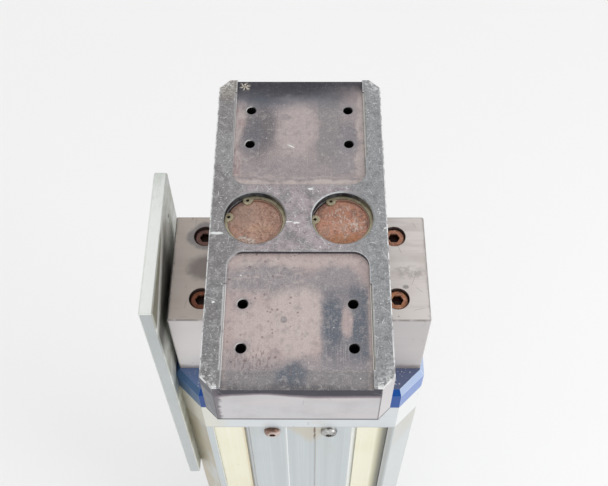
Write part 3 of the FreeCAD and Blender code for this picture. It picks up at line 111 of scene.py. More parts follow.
class Recipe:
    """A node material under construction, whose positions are those of the frame in millimetres."""

    def __init__(self, name):
        self.material = bpy.data.materials.new(name)
        self.material.use_nodes = True
        self.tree = self.material.node_tree
        self.shader = self.tree.nodes["Principled BSDF"]
        self.place = self.vector("SCALE", self.node("TexCoord").outputs["Object"], scale=1 / MM)
        self.facing = self.node("NewGeometry").outputs["Normal"]
        self.x, self.y, self.z = self.split(self.place)
        self.off_x, self.off_y = self.size(self.x), self.size(self.y)
        self.right, self.back, self.up = self.split(self.facing)
        self.rounded = None

    def node(self, kind, **settings):
        """New node of a kind with its plain settings."""
        made = self.tree.nodes.new(f"ShaderNode{kind}")
        for key, setting in settings.items():
            setattr(made, key, setting)
        return made

    def feed(self, socket, source):
        """Link a socket to another node's output, or set it to a constant."""
        if isinstance(source, bpy.types.NodeSocket):
            self.tree.links.new(source, socket)
        elif socket.type == "RGBA":
            socket.default_value = (*source, 1.0)
        else:
            socket.default_value = source

    def split(self, vector):
        """The three parts of a vector."""
        made = self.node("SeparateXYZ")
        self.feed(made.inputs[0], vector)
        return made.outputs[0], made.outputs[1], made.outputs[2]

    def joined(self, x, y, z=0.0):
        """Vector of three parts."""
        made = self.node("CombineXYZ")
        for socket, part in zip(made.inputs, (x, y, z)):
            self.feed(socket, part)
        return made.outputs[0]

    def vector(self, operation, first, second=None, scale=None):
        """One step of vector arithmetic."""
        made = self.node("VectorMath", operation=operation)
        self.feed(made.inputs[0], first)
        if second is not None:
            self.feed(made.inputs[1], second)
        if scale is not None:
            self.feed(made.inputs["Scale"], scale)
        return made.outputs["Value" if operation in ("LENGTH", "DOT_PRODUCT") else "Vector"]

    def math(self, operation, first, second=0.0):
        """One step of arithmetic."""
        made = self.node("Math", operation=operation)
        self.feed(made.inputs[0], first)
        self.feed(made.inputs[1], second)
        return made.outputs[0]

    def fold(self, operation, values):
        """One operation over several values."""
        total = values[0]
        for other in values[1:]:
            total = self.math(operation, total, other)
        return total

    def plus(self, *terms):
        """Sum of several values."""
        return self.fold("ADD", terms)

    def times(self, *factors):
        """Product of several values."""
        return self.fold("MULTIPLY", factors)

    def rise(self, base, share, gain):
        """Base plus a share of a gain."""
        return self.plus(base, self.times(share, gain))

    def most(self, *values):
        """Largest of several values."""
        return self.fold("MAXIMUM", values)

    def but_not(self, value):
        """One minus a value."""
        return self.math("SUBTRACT", 1.0, value)

    def size(self, value):
        """Value without its sign."""
        return self.math("ABSOLUTE", value)

    def ramp(self, value, start, end):
        """Smooth step from 0 at start to 1 at end, rising or falling."""
        made = self.node("MapRange", interpolation_type="SMOOTHSTEP")
        rising = start < end
        numbers = (value, min(start, end), max(start, end), float(not rising), float(rising))
        for key, number in zip(("Value", "From Min", "From Max", "To Min", "To Max"), numbers):
            self.feed(made.inputs[key], number)
        return made.outputs["Result"]

    def band(self, value, low, high, soft):
        """1 between two values, with soft ends."""
        return self.times(
            self.ramp(value, low - soft, low + soft),
            self.ramp(value, high + soft, high - soft),
        )

    def sloped(self):
        """1 on chamfers between a face that looks up and an upright one."""
        return self.times(self.ramp(self.up, 0.2, 0.5), self.ramp(self.up, 0.95, 0.85))

    def front_corner(self, side):
        """1 on the upright front chamfer of the left side, -1, or the right side, 1."""
        return self.times(self.ramp(self.right, 0.3 * side, 0.6 * side), self.ramp(self.back, -0.3, -0.6))

    def away(self, x, along):
        """Distance from the nearer of two upright axes, at x and -x, where y is that far off."""
        return self.vector("LENGTH", self.joined(self.plus(self.off_x, -x), along))

    def noise(self, size, detail=4.0, rough=0.55, shift=0.0, colour=False):
        """Cloudy values about one half. A size is in millimetres, one for all axes or one for each."""
        made = self.node("TexNoise")
        if isinstance(size, tuple):
            place = self.vector("DIVIDE", self.place, size)
            made.inputs["Scale"].default_value = 1.0
        else:
            place = self.place
            made.inputs["Scale"].default_value = 1 / size
        if shift:
            place = self.vector("ADD", place, (shift, shift, shift))
        self.feed(made.inputs["Vector"], place)
        made.inputs["Detail"].default_value = detail
        made.inputs["Roughness"].default_value = rough
        return made.outputs["Color" if colour else "Fac"]

    def cloud(self, size, low, high, **more):
        """Noise cut to a share that rises from low to high."""
        return self.ramp(self.noise(size, **more), low, high)

    def wavered(self, *waves):
        """Positions pushed about by noise, for ragged outlines. A wave is a size and how far it pushes."""
        place = self.place
        for size, push in waves:
            offset = self.vector("SUBTRACT", self.noise(size, 2.0, colour=True), (0.5, 0.5, 0.5))
            place = self.vector("ADD", place, self.vector("SCALE", offset, scale=2.0 * push))
        return place

    def spot(self, place, x, y, half_x, half_y, soft=0.3, square=False):
        """Round or square patch on a level face, about a point."""
        step = self.vector("SUBTRACT", place, (x, y, 0.0))
        across, along, _ = self.split(self.vector("DIVIDE", step, (half_x, half_y, 1.0)))
        if square:
            far = self.most(self.size(across), self.size(along))
        else:
            far = self.math("SQRT", self.plus(self.times(across, across), self.times(along, along)))
        return self.ramp(far, 1.0 + soft, 1.0 - soft)

    def dots(self, cell, radius, share, shift=0.0):
        """Scattered round spots: a share of the cells holds one, up to a radius given as part of a cell."""
        made = self.node("TexVoronoi")
        self.feed(made.inputs["Vector"], self.vector("ADD", self.place, (shift, shift, shift)))
        made.inputs["Scale"].default_value = 1 / cell
        chosen, reach, _ = self.split(made.outputs["Color"])
        near = self.math("DIVIDE", made.outputs["Distance"], self.times(self.plus(reach, 0.35), radius))
        return self.times(self.ramp(near, 1.0, 0.55), self.math("LESS_THAN", chosen, share))

    def scratches(self, cell, length, width, share, across=None, along=None, shift=0.0):
        """Short straight lines, each turned its own way: a share of the cells of a plane holds one."""
        plane = self.joined(self.x if across is None else across, self.y if along is None else along)
        plane = self.vector("ADD", plane, (shift, shift, 0.0))
        made = self.node("TexVoronoi", voronoi_dimensions="2D")
        self.feed(made.inputs["Vector"], plane)
        made.inputs["Scale"].default_value = 1 / cell
        chosen, spin, reach = self.split(made.outputs["Color"])
        turned = self.node("VectorRotate", rotation_type="Z_AXIS")
        self.feed(turned.inputs["Vector"], self.vector("SUBTRACT", plane, made.outputs["Position"]))
        self.feed(turned.inputs["Angle"], self.times(spin, math.tau))
        run, off, _ = self.split(turned.outputs[0])
        half_run = self.times(self.plus(reach, 0.25), length / 2)
        within = self.ramp(self.math("DIVIDE", self.size(run), half_run), 1.0, 0.5)
        line = self.ramp(self.size(off), width, width * 0.3)
        return self.times(line, within, self.math("LESS_THAN", chosen, share))

    def edges(self, radius, sharp=0.86):
        """Where a face is within a radius of a sharp edge. The rounded normal is kept for the relief."""
        made = self.node("Bevel", samples=5)
        made.inputs["Radius"].default_value = radius * MM
        self.rounded = made.outputs["Normal"]
        return self.ramp(self.vector("DOT_PRODUCT", self.rounded, self.facing), 0.995, sharp)

    def mix(self, share, under, over):
        """One colour over another by a share."""
        made = self.node("Mix", data_type="RGBA")
        self.feed(made.inputs[0], share)
        self.feed(made.inputs[6], under)
        self.feed(made.inputs[7], over)
        return made.outputs[2]

    def layers(self, base, *coats):
        """Colour built up from a base and coats: each is a colour, its strength and shares that bound it."""
        for colour, strength, *shares in coats:
            base = self.mix(self.times(*shares, strength), base, colour)
        return base

    def relief(self, height, depth):
        """Relief from a height between 0 and 1, with its depth in millimetres."""
        made = self.node("Bump")
        made.inputs["Distance"].default_value = depth * MM
        self.feed(made.inputs["Height"], height)
        if self.rounded is not None:
            self.feed(made.inputs["Normal"], self.rounded)
        self.feed(self.shader.inputs["Normal"], made.outputs["Normal"])

    def done(self, colour, roughness, metallic=0.0, specular=0.5):
        """Feed the shader and give the finished material."""
        keys = ("Base Color", "Roughness", "Metallic", "Specular IOR Level")
        for key, source in zip(keys, (colour, roughness, metallic, specular)):
            self.feed(self.shader.inputs[key], source)
        return self.material


# Colours of the load plate's stained coat
PINK = (0.475, 0.38, 0.365)
PALE = (0.56, 0.475, 0.45)
TAN = (0.57, 0.485, 0.455)
WINE = (0.16, 0.105, 0.11)
SMOKE = (0.28, 0.26, 0.275)
SLATE = (0.105, 0.125, 0.157)
INK = (0.035, 0.035, 0.045)
BARE = (0.82, 0.83, 0.83)
DUST = (0.62, 0.57, 0.55)
SOOT = (0.17, 0.155, 0.165)


def pocket_streak(mat):
    """Fine lines along the pockets."""
    return mat.noise((1.3, 60, 60), 3)


def front_pocket_colour(mat, wavy):
    """Floor of the front pocket: pale pink with a slate stain on the right and a dark front end."""
    streak = pocket_streak(mat)
    wavy_y = mat.split(wavy)[1]
    stain = partial(mat.spot, wavy)
    close = mat.wavered((9, 2.2), (2, 0.9))
    close_y = mat.split(close)[1]
    window = mat.times(mat.spot(close, 31.6, -78, 3.6, 12, 0.35), mat.cloud(5, 0.2, 0.42))
    hatch = mat.most(mat.scratches(5, 9, 0.3, 0.8), mat.scratches(4, 7, 0.25, 0.7, shift=17))
    specks = mat.most(mat.dots(2.8, 0.3, 0.3), mat.dots(4.6, 0.26, 0.3, 5))
    scuffs = mat.cloud((9, 3, 9), 0.52, 0.68, shift=6)
    drips = mat.cloud((1.6, 4, 4), 0.5, 0.62, shift=3)
    return mat.layers(
        PINK,
        (PALE, 0.9, stain(0, -77, 18, 27)),
        (PALE, 0.6, stain(-28, -84, 14, 20)),
        (SMOKE, 0.85, stain(-22, -47, 33, 12, 0.4)),
        (TAN, 0.5, hatch, stain(-12, -48, 32, 16)),
        (TAN, 0.6, scuffs, stain(-8, -42, 34, 10)),
        (SMOKE, 0.85, stain(25, -51, 20, 13, 0.3)),
        (SMOKE, 0.85, mat.spot(close, 30, -90, 15.5, 27, 0.15, square=True)),
        (SLATE, 0.45, mat.spot(close, 30, -84, 14, 30, 0.2, square=True)),
        (SLATE, 0.9, mat.spot(close, 22.3, -79, 6.2, 19, 0.4)),
        (SLATE, 0.85, mat.spot(close, 40, -79, 5.5, 26, 0.2, square=True), mat.ramp(streak, 0.25, 0.5)),
        (PINK, 0.9, window),
        (SLATE, 0.55, mat.spot(close, 29, -102, 15, 10, 0.3), mat.ramp(streak, 0.62, 0.4)),
        (TAN, 0.25, mat.ramp(streak, 0.5, 0.66), stain(29, -103, 16, 9)),
        (SMOKE, 0.75, mat.ramp(wavy_y, -99, -110), mat.ramp(streak, 0.1, 0.5)),
        ((0.222, 0.216, 0.222), 0.85, mat.ramp(close_y, -111.5, -114.5)),
        (TAN, 0.35, mat.band(close_y, -113.8, -113.3, 0.5), mat.ramp(mat.x, 10, 18)),
        (SLATE, 0.85, stain(-4, -116.5, 9.5, 8.5, 0.35)),
        (INK, 0.6, mat.ramp(wavy_y, -119, -126)),
        (TAN, 0.6, mat.band(mat.y, -37, -28, 2.5), mat.cloud(14, 0.35, 0.6)),
        (TAN, 0.35, mat.ramp(mat.off_x, 42, 46), mat.cloud(11, 0.35, 0.6)),
        (WINE, 0.6, drips, stain(-29, -105, 14, 9, 0.4)),
        (WINE, 0.65, specks, mat.ramp(mat.x, 12, 2), mat.cloud(20, 0.32, 0.46)),
        ((0.235, 0.21, 0.215), 0.75, mat.spot(mat.place, -9, -77.4, 2.2, 2.4, 0.2)),
        (BARE, 0.9, mat.dots(3.2, 0.2, 0.025, 9)),
    )


def rear_pocket_colour(mat, wavy):
    """Floor of the rear pocket: pale centre, slate about the holes, tan rim and a nearly black rear end."""
    wavy_x, wavy_y, _ = mat.split(wavy)
    stain = partial(mat.spot, wavy)
    close = mat.wavered((2.2, 2.2))
    bearing = mat.math("ARCTAN2", mat.plus(mat.y, -BURST_Y), mat.plus(mat.x, -BURST_X))
    rays = mat.math("COSINE", mat.plus(mat.times(bearing, 6), mat.times(mat.noise(2, 2), 9)))
    burst = mat.times(mat.spot(close, BURST_X, BURST_Y, 3.3, 3.3, 0.5), mat.ramp(rays, -0.4, 0.7))
    stained = mat.cloud((2.6, 9, 9), 0.48, 0.62, shift=2)
    patchy = mat.cloud(9, 0.25, 0.5)
    slanted = mat.vector("ADD", mat.place, mat.joined(0, mat.times(mat.x, 0.55)))
    return mat.layers(
        (0.345, 0.295, 0.297),
        ((0.475, 0.405, 0.395), 0.75, stain(-2.5, 80, 13.5, 28, 0.3)),
        (SMOKE, 0.35, stain(0, 44, 40, 8, 0.4)),
        (SMOKE, 0.5, stain(-12, 92, 4, 3)),
        ((0.12, 0.112, 0.122), 0.85, stain(-30, 87, 12, 34, 0.45)),
        (SLATE, 0.3, stain(-35, 74, 6.5, 17, 0.5)),
        ((0.235, 0.222, 0.228), 0.8, stain(21.5, 82, 8.5, 32, 0.25, square=True)),
        (SLATE, 0.45, stain(35, 72, 7, 16, 0.4)),
        (SMOKE, 0.5, stain(33, 52, 10, 12, 0.4)),
        (TAN, 0.48, mat.ramp(wavy_x, -40, -43.5), mat.ramp(wavy_y, 113, 100), patchy),
        (TAN, 0.6, mat.ramp(wavy_x, 40, 43.5), mat.ramp(wavy_y, 119, 108), patchy),
        ((0.30, 0.20, 0.20), 0.6, mat.ramp(wavy_x, -40, -43), stained),
        ((0.62, 0.535, 0.50), 0.75, mat.band(wavy_y, 27, 33.5, 2.2)),
        (SMOKE, 0.5, mat.band(wavy_y, 34.5, 36, 0.9), mat.cloud(16, 0.35, 0.55)),
        (TAN, 0.45, mat.band(wavy_y, 36.5, 38, 0.9), mat.cloud(20, 0.4, 0.6)),
        (SLATE, 0.7, mat.ramp(wavy_y, 94, 110), mat.ramp(mat.x, 44, 10)),
        (INK, 0.72, mat.ramp(wavy_y, 102, 117), mat.ramp(mat.x, 60, 24)),
        (INK, 0.6, mat.ramp(wavy_y, 106, 118), mat.band(mat.x, -22, 18, 14)),
        (INK, 0.85, mat.ramp(wavy_y, 115, 123)),
        (BARE, 0.95, mat.spot(slanted, -6, 60.6, 2.6, 0.6, 0.2)),
        (BARE, 0.5, mat.dots(3, 0.2, 0.03, 3)),
        ((0.66, 0.60, 0.50), 1.0, burst),
    )


def hole_distance(mat):
    """Distance from the axis of the nearest tapped hole."""
    row = mat.plus(mat.size(mat.plus(mat.off_y, -HOLE_Y)), -HOLE_STEP)
    return mat.away(HOLE_X, row)


def pocket_coat(name, floor_colour):
    """Stained hard coat on the floor of one pocket, by the function that lays out its stains."""
    mat = Recipe(name)
    wavy = mat.wavered((24, 7), (5, 2.2), (1.3, 0.7))
    streak = pocket_streak(mat)
    grain = mat.noise(0.8, 2)
    clear = mat.rise(1.0, mat.ramp(mat.y, 96, 110), -0.8)
    colour = mat.layers(
        floor_colour(mat, wavy),
        ((0.20, 0.19, 0.21), 0.08, mat.ramp(streak, 0.52, 0.7)),
        (DUST, 0.07, mat.ramp(streak, 0.48, 0.32), clear),
        (DUST, 0.26, mat.cloud(3.2, 0.52, 0.7, shift=5), clear),
        (SOOT, 0.3, mat.cloud(5, 0.5, 0.32, shift=7), clear),
        (DUST, 0.22, mat.ramp(grain, 0.5, 0.68), clear),
        (SOOT, 0.24, mat.ramp(grain, 0.5, 0.32), clear),
        ((0.24, 0.23, 0.25), 0.4, mat.ramp(hole_distance(mat), 9, 3)),
    )
    mat.relief(mat.plus(mat.times(grain, 0.5), mat.times(streak, 0.15)), 0.12)
    return mat.done(colour, mat.rise(0.4, mat.noise(14), 0.25), 0.1, 0.22)


def rail_colour(mat, chips):
    """Rails and web: mottled grey with a purplish web, white nicks and scratches."""
    web = mat.times(mat.ramp(mat.off_y, 33, 22), mat.ramp(mat.off_x, 46, 30))
    fine = mat.noise(1.1, 3)
    mottle = mat.noise(5, 4)
    ragged = mat.wavered((3, 1.0))
    return mat.layers(
        (0.228, 0.215, 0.216),
        ((0.295, 0.289, 0.295), 1.0, mat.cloud(30, 0.35, 0.65)),
        ((0.30, 0.31, 0.322), 0.75, mat.ramp(mat.x, 5, 52)),
        ((0.15, 0.15, 0.155), 0.35, mat.ramp(mat.x, -44, -50), mat.ramp(mat.y, -20, -80)),
        ((0.435, 0.365, 0.384), 0.85, web, mat.cloud(12, 0.25, 0.58)),
        ((0.27, 0.235, 0.185), 0.55, mat.spot(mat.place, -54, 119, 9, 12, 0.6)),
        ((0.13, 0.13, 0.135), 0.5, mat.ramp(mottle, 0.5, 0.7)),
        ((0.45, 0.45, 0.455), 0.5, mat.ramp(mottle, 0.46, 0.3)),
        ((0.10, 0.10, 0.105), 0.5, mat.ramp(fine, 0.54, 0.68)),
        ((0.58, 0.58, 0.59), 0.5, mat.ramp(fine, 0.44, 0.3)),
        (BARE, 0.85, chips),
        (BARE, 0.9, mat.most(*(mat.spot(ragged, *gouge, 0.3) for gouge in GOUGES))),
    )


def plate_side_colour(mat, depth):
    """Sides of the load plate: pale satin, a wavy dark run under the top edge and dark outlines, with
    painted shade on the left front chamfer and painted light on the right one.
    """
    front = mat.ramp(mat.back, -0.85, -0.97)
    lit_right_chamfer = mat.front_corner(1)
    wave = mat.times(mat.noise((22, 22, 60), 3), -4)
    arch = mat.times(mat.ramp(mat.size(mat.plus(mat.x, 24)), 2, 34), -4.5)
    at_rim = mat.most(
        mat.ramp(mat.off_y, LOAD_HIGH.y - CORNER - 2, LOAD_HIGH.y - CORNER),
        mat.ramp(mat.off_x, LOAD_HIGH.x - CORNER - 2, LOAD_HIGH.x - CORNER),
    )
    run = mat.times(mat.ramp(mat.plus(depth, wave, mat.times(arch, 0.8)), 8.2, 4.2), at_rim)
    flush = mat.ramp(mat.plus(depth, wave, arch), 9.2, 6.8)
    from_corner = mat.math("SUBTRACT", LOAD_HIGH.x - CORNER, mat.off_x)
    from_left = mat.plus(mat.x, -LOAD_LOW.x - CORNER)
    smudge = mat.ramp(mat.rise(from_left, mat.noise(5, 4), -8), 1.0, -2.5)
    thickness = LOAD_HIGH.z - LOAD_LOW.z
    return mat.layers(
        (0.55, 0.54, 0.552),
        ((0.46, 0.44, 0.452), 0.5, mat.cloud(20, 0.42, 0.7)),
        ((0.60, 0.55, 0.56), 0.5, mat.cloud((40, 40, 9), 0.45, 0.7, shift=4)),
        # Painted shade on the left front chamfer
        ((0.185, 0.192, 0.21), 0.95, mat.front_corner(-1), mat.cloud(16, 0.1, 0.5)),
        # Painted light on the right front chamfer
        ((0.60, 0.575, 0.585), 0.8, lit_right_chamfer),
        ((0.20, 0.155, 0.18), 0.8, flush, front),
        ((0.028, 0.028, 0.04), 0.94, run, mat.most(front, 0.5), mat.but_not(lit_right_chamfer)),
        ((0.14, 0.125, 0.145), 0.85, smudge, front),
        ((0.07, 0.065, 0.07), 0.92, mat.ramp(depth, thickness - 3.4, thickness - 1.6)),
        ((0.13, 0.125, 0.13), 0.8, front, mat.ramp(from_corner, 1.1, 0.3)),
        ((0.22, 0.21, 0.22), 0.6, mat.dots(5, 0.18, 0.1)),
        ((0.25, 0.24, 0.25), 0.5, mat.scratches(16, 9, 0.3, 0.25, along=mat.z)),
    )


def plate_chips(mat, to_corner):
    """White nicks and scratches of the rails, thicker in clumps and towards the corners."""
    clumps = mat.cloud(11, 0.44, 0.64, shift=11)
    flecked = mat.plus(
        mat.noise(1.9, 4, 0.72, shift=2),
        mat.times(mat.noise(13), 0.22),
        mat.times(to_corner, 0.05),
    )
    return mat.most(
        mat.ramp(flecked, 0.73, 0.80),
        mat.times(mat.scratches(8, 10, 0.2, 0.3), 0.75),
        mat.times(mat.scratches(5, 5, 0.26, 0.4, shift=31), clumps),
        mat.times(mat.dots(2.2, 0.24, 0.2), clumps),
    )


def pocket_wall_shade(mat, side, depth, inside):
    """Painted shade on the walls of the pockets, without the ends of their ledges, fainter where they face
    right towards the light.
    """
    ledge_end = mat.times(
        mat.ramp(mat.off_x, POCKET_HALF - 0.1, POCKET_HALF + 0.2),
        mat.ramp(mat.size(mat.back), 0.7, 0.9),
    )
    return mat.times(
        side,
        inside,
        mat.ramp(depth, POCKET_DEPTH + 0.5, POCKET_DEPTH + 0.1),
        mat.band(mat.off_y, POCKET_START - 0.5, LOAD_HIGH.y - 0.5, 0.1),
        mat.but_not(ledge_end),
        mat.rise(1.0, mat.ramp(mat.right, 0.25, 0.7), -0.8),
    )


def worn_edges(mat, colour, top, depth, inside, to_corner):
    """Bare metal along the outer edges and corners, and along the inner ends of the pockets."""
    wide_line = mat.edges(1.5)
    worn_line = mat.edges(0.9)
    rail_end = mat.times(top, mat.ramp(mat.off_y, LOAD_HIGH.y - 2.6, LOAD_HIGH.y - 1.2))
    flaked = mat.most(
        mat.times(worn_line, mat.cloud(3, 0.42, 0.58)),
        mat.times(mat.sloped(), mat.cloud(4.5, 0.36, 0.56)),
        mat.times(rail_end, mat.cloud(4, 0.36, 0.5), mat.ramp(mat.y, 0, -10)),
        mat.times(to_corner, mat.cloud(2.4, 0.46, 0.6), top, 0.7),
    )
    outside = mat.times(
        mat.but_not(inside),
        mat.ramp(depth, 8, 3),
        mat.ramp(mat.away(ROD_X, mat.y), BORE_REACH, BORE_REACH + 3),
    )
    pocket_edge = mat.times(
        wide_line,
        top,
        mat.ramp(depth, 0.6, 0.3),
        mat.most(mat.ramp(mat.y, -24, -26), mat.ramp(mat.y, 103, 107)),
        mat.ramp(mat.off_x, POCKET_HALF + 4, POCKET_HALF + 3),
    )
    return mat.layers(
        colour,
        (BARE, 0.9, flaked, outside),
        (BARE, 0.8, pocket_edge, mat.cloud(8, 0.3, 0.5)),
    )


def ledge_colour(mat, colour, top, depth):
    """Side ledges of the pockets: light, with a dull line along them."""
    rear, right_half = mat.ramp(mat.y, -5, 5), mat.ramp(mat.x, -5, 5)
    ledge = mat.times(top, mat.band(depth, LEDGE_DEPTH - 0.4, LEDGE_DEPTH + 0.4, 0.1))
    light = mat.mix(right_half, (0.86, 0.87, 0.86), (0.84, 0.80, 0.72))
    dull = mat.mix(right_half, (0.27, 0.25, 0.25), (0.08, 0.08, 0.085))
    line = mat.band(mat.off_x, POCKET_HALF + 0.4, POCKET_HALF + 1.1, 0.15)
    return mat.layers(
        colour,
        (light, 0.9, ledge, mat.cloud(9, 0.2, 0.4), mat.but_not(mat.times(rear, 0.5))),
        (dull, 0.8, ledge, line, mat.but_not(mat.times(rear, right_half))),
    )


def bore_shade_and_highlights(mat, colour, side):
    """Painted shade in the rod bores and tapped holes, painted light on the bores' far and left-facing
    walls, and painted highlights on the rims' lit side.
    """
    rod_away, hole_away = mat.away(ROD_X, mat.y), hole_distance(mat)
    bore_shade = mat.times(side, mat.ramp(rod_away, BORE_REACH + 0.5, BORE_REACH))
    hole_shade = mat.times(side, mat.ramp(hole_away, HOLE_REACH + 0.3, HOLE_REACH))
    lit_rear_wall = mat.times(bore_shade, mat.ramp(mat.back, -0.5, -0.9))
    right_half = mat.ramp(mat.x, -5, 5)
    sunlit = mat.ramp(mat.math("SUBTRACT", mat.right, mat.back), 0.3, 0.85)
    bore_rim_highlight = mat.times(
        mat.sloped(),
        mat.ramp(rod_away, BORE_REACH, BORE_REACH - 1.0),
        mat.most(sunlit, 0.35),
        mat.rise(0.4, right_half, 0.6),
    )
    hole_rim_highlight = mat.times(mat.sloped(), mat.ramp(hole_away, HOLE_REACH + 0.8, HOLE_REACH + 0.5))
    return mat.layers(
        colour,
        # Near-black painted shade in the bores, painted light on their far and left-facing walls, and
        # painted highlights on their rims
        ((0.010, 0.010, 0.012), 0.98, bore_shade),
        ((0.16, 0.17, 0.185), 0.5, lit_rear_wall, mat.cloud((7, 7, 20), 0.4, 0.65)),
        ((0.22, 0.20, 0.14), 0.5, bore_shade, mat.ramp(mat.right, -0.3, -0.9)),
        ((0.62, 0.65, 0.67), 0.85, bore_rim_highlight, mat.cloud(7, 0.25, 0.5)),
        # Near-black painted shade in the tapped holes, and painted highlights on their lit rims
        ((0.008, 0.007, 0.008), 1.0, hole_shade),
        ((0.72, 0.71, 0.69), 0.7, hole_rim_highlight, sunlit, mat.but_not(mat.times(right_half, 0.7))),
    )


def load_plate_coat():
    """Worn hard coat round the pockets: nicked grey rails, pale front face and whitened edges, with painted
    shade in the pocket walls, bores and holes, painted light and shade on the front chamfers and painted
    highlights on the rims.
    """
    mat = Recipe("load_plate_coat")
    depth = mat.math("SUBTRACT", LOAD_HIGH.z, mat.z)
    top = mat.ramp(mat.up, 0.6, 0.9)
    side = mat.but_not(top)
    inside = mat.ramp(mat.off_x, POCKET_HALF + 2.6, POCKET_HALF + 2.2)
    to_corner = mat.ramp(mat.plus(mat.off_x, mat.off_y), 160, 180)
    chips = plate_chips(mat, to_corner)
    colour = mat.mix(top, plate_side_colour(mat, depth), rail_colour(mat, chips))
    # Near-black painted shade on the pocket walls
    colour = mat.layers(colour, (INK, 0.9, pocket_wall_shade(mat, side, depth, inside)))
    colour = worn_edges(mat, colour, top, depth, inside, to_corner)
    colour = ledge_colour(mat, colour, top, depth)
    colour = bore_shade_and_highlights(mat, colour, side)
    mat.relief(mat.plus(mat.times(mat.noise(0.8, 2), 0.5), mat.times(chips, -0.8)), 0.12)
    return mat.done(colour, mat.rise(0.4, mat.noise(14), 0.25), 0.1, 0.22)


def block_coat():
    """Worn warm grey coat with handling stains round the screws, painted shade towards the left end of its
    top and painted shade in the screws' counterbores.
    """
    mat = Recipe("block_coat")
    top = mat.ramp(mat.up, 0.6, 0.9)
    wavy = mat.wavered((12, 4), (3, 1.2))
    smear = mat.noise((60, 9, 9), 4)
    grain = mat.noise(0.9, 2)
    top_colour = mat.layers(
        (0.71, 0.66, 0.63),
        ((0.51, 0.46, 0.43), 0.6, mat.ramp(smear, 0.44, 0.66)),
        ((0.72, 0.68, 0.655), 0.6, mat.cloud(25, 0.45, 0.7)),
        # Painted shade, warmer, towards the left end of the top beside the side plate
        ((0.60, 0.505, 0.44), 0.6, mat.ramp(mat.x, -40, -75)),
        ((0.21, 0.18, 0.17), 0.78, mat.spot(wavy, -66, -1.0, 16, 11, 0.35)),
        ((0.20, 0.195, 0.21), 0.7, mat.spot(wavy, -71.5, 27, 13, 12.5, 0.15)),
        ((0.30, 0.275, 0.27), 0.5, mat.spot(wavy, 82, -4, 11, 6, 0.4), mat.cloud(4, 0.4, 0.6)),
        ((0.25, 0.235, 0.22), 0.8, mat.spot(mat.place, 78, -17, 2.2, 1.6)),
        ((0.26, 0.235, 0.225), 0.6, mat.dots(5.5, 0.2, 0.12)),
        ((0.30, 0.27, 0.26), 0.5, mat.scratches(14, 12, 0.35, 0.35)),
        ((0.26, 0.24, 0.23), 0.5, mat.ramp(mat.off_x, 92, 94.5), mat.cloud(7, 0.35, 0.6)),
    )
    ragged = mat.times(mat.noise(10, 3), -9)
    low_edge = mat.ramp(mat.plus(mat.z, ragged), BLOCK_LOW.z + 4, BLOCK_LOW.z - 3)
    side_colour = mat.layers(
        (0.58, 0.55, 0.55),
        ((0.49, 0.465, 0.465), 0.6, mat.cloud((70, 70, 10), 0.45, 0.7)),
        ((0.66, 0.63, 0.625), 0.5, mat.cloud(30, 0.5, 0.75, shift=2)),
        ((0.72, 0.685, 0.68), 0.7, mat.ramp(mat.x, -20, -70)),
        ((0.47, 0.445, 0.445), 0.6, mat.ramp(mat.x, 20, 70)),
        ((0.24, 0.21, 0.20), 0.8, low_edge),
        ((0.30, 0.28, 0.275), 0.55, mat.scratches(15, 13, 0.35, 0.3, along=mat.z)),
        ((0.30, 0.28, 0.27), 0.6, mat.dots(6, 0.18, 0.12)),
    )
    rim = mat.most(mat.times(mat.edges(0.7), 0.6), mat.times(mat.sloped(), 0.85))
    counterbore_shade = mat.ramp(mat.away(SCREW_X, mat.plus(mat.off_y, -SCREW_Y)), SCREW_REACH + 0.4, SCREW_REACH)
    colour = mat.layers(
        mat.mix(top, side_colour, top_colour),
        ((0.17, 0.15, 0.14), 0.75, rim, mat.cloud(6, 0.2, 0.5)),
        # Painted shade on the walls of the screws' counterbores
        ((0.07, 0.042, 0.034), 0.95, mat.but_not(top), counterbore_shade),
    )
    mat.relief(mat.plus(mat.times(grain, 0.5), mat.times(smear, 0.3)), 0.1)
    return mat.done(colour, mat.rise(0.42, mat.noise(18), 0.2), 0.1)


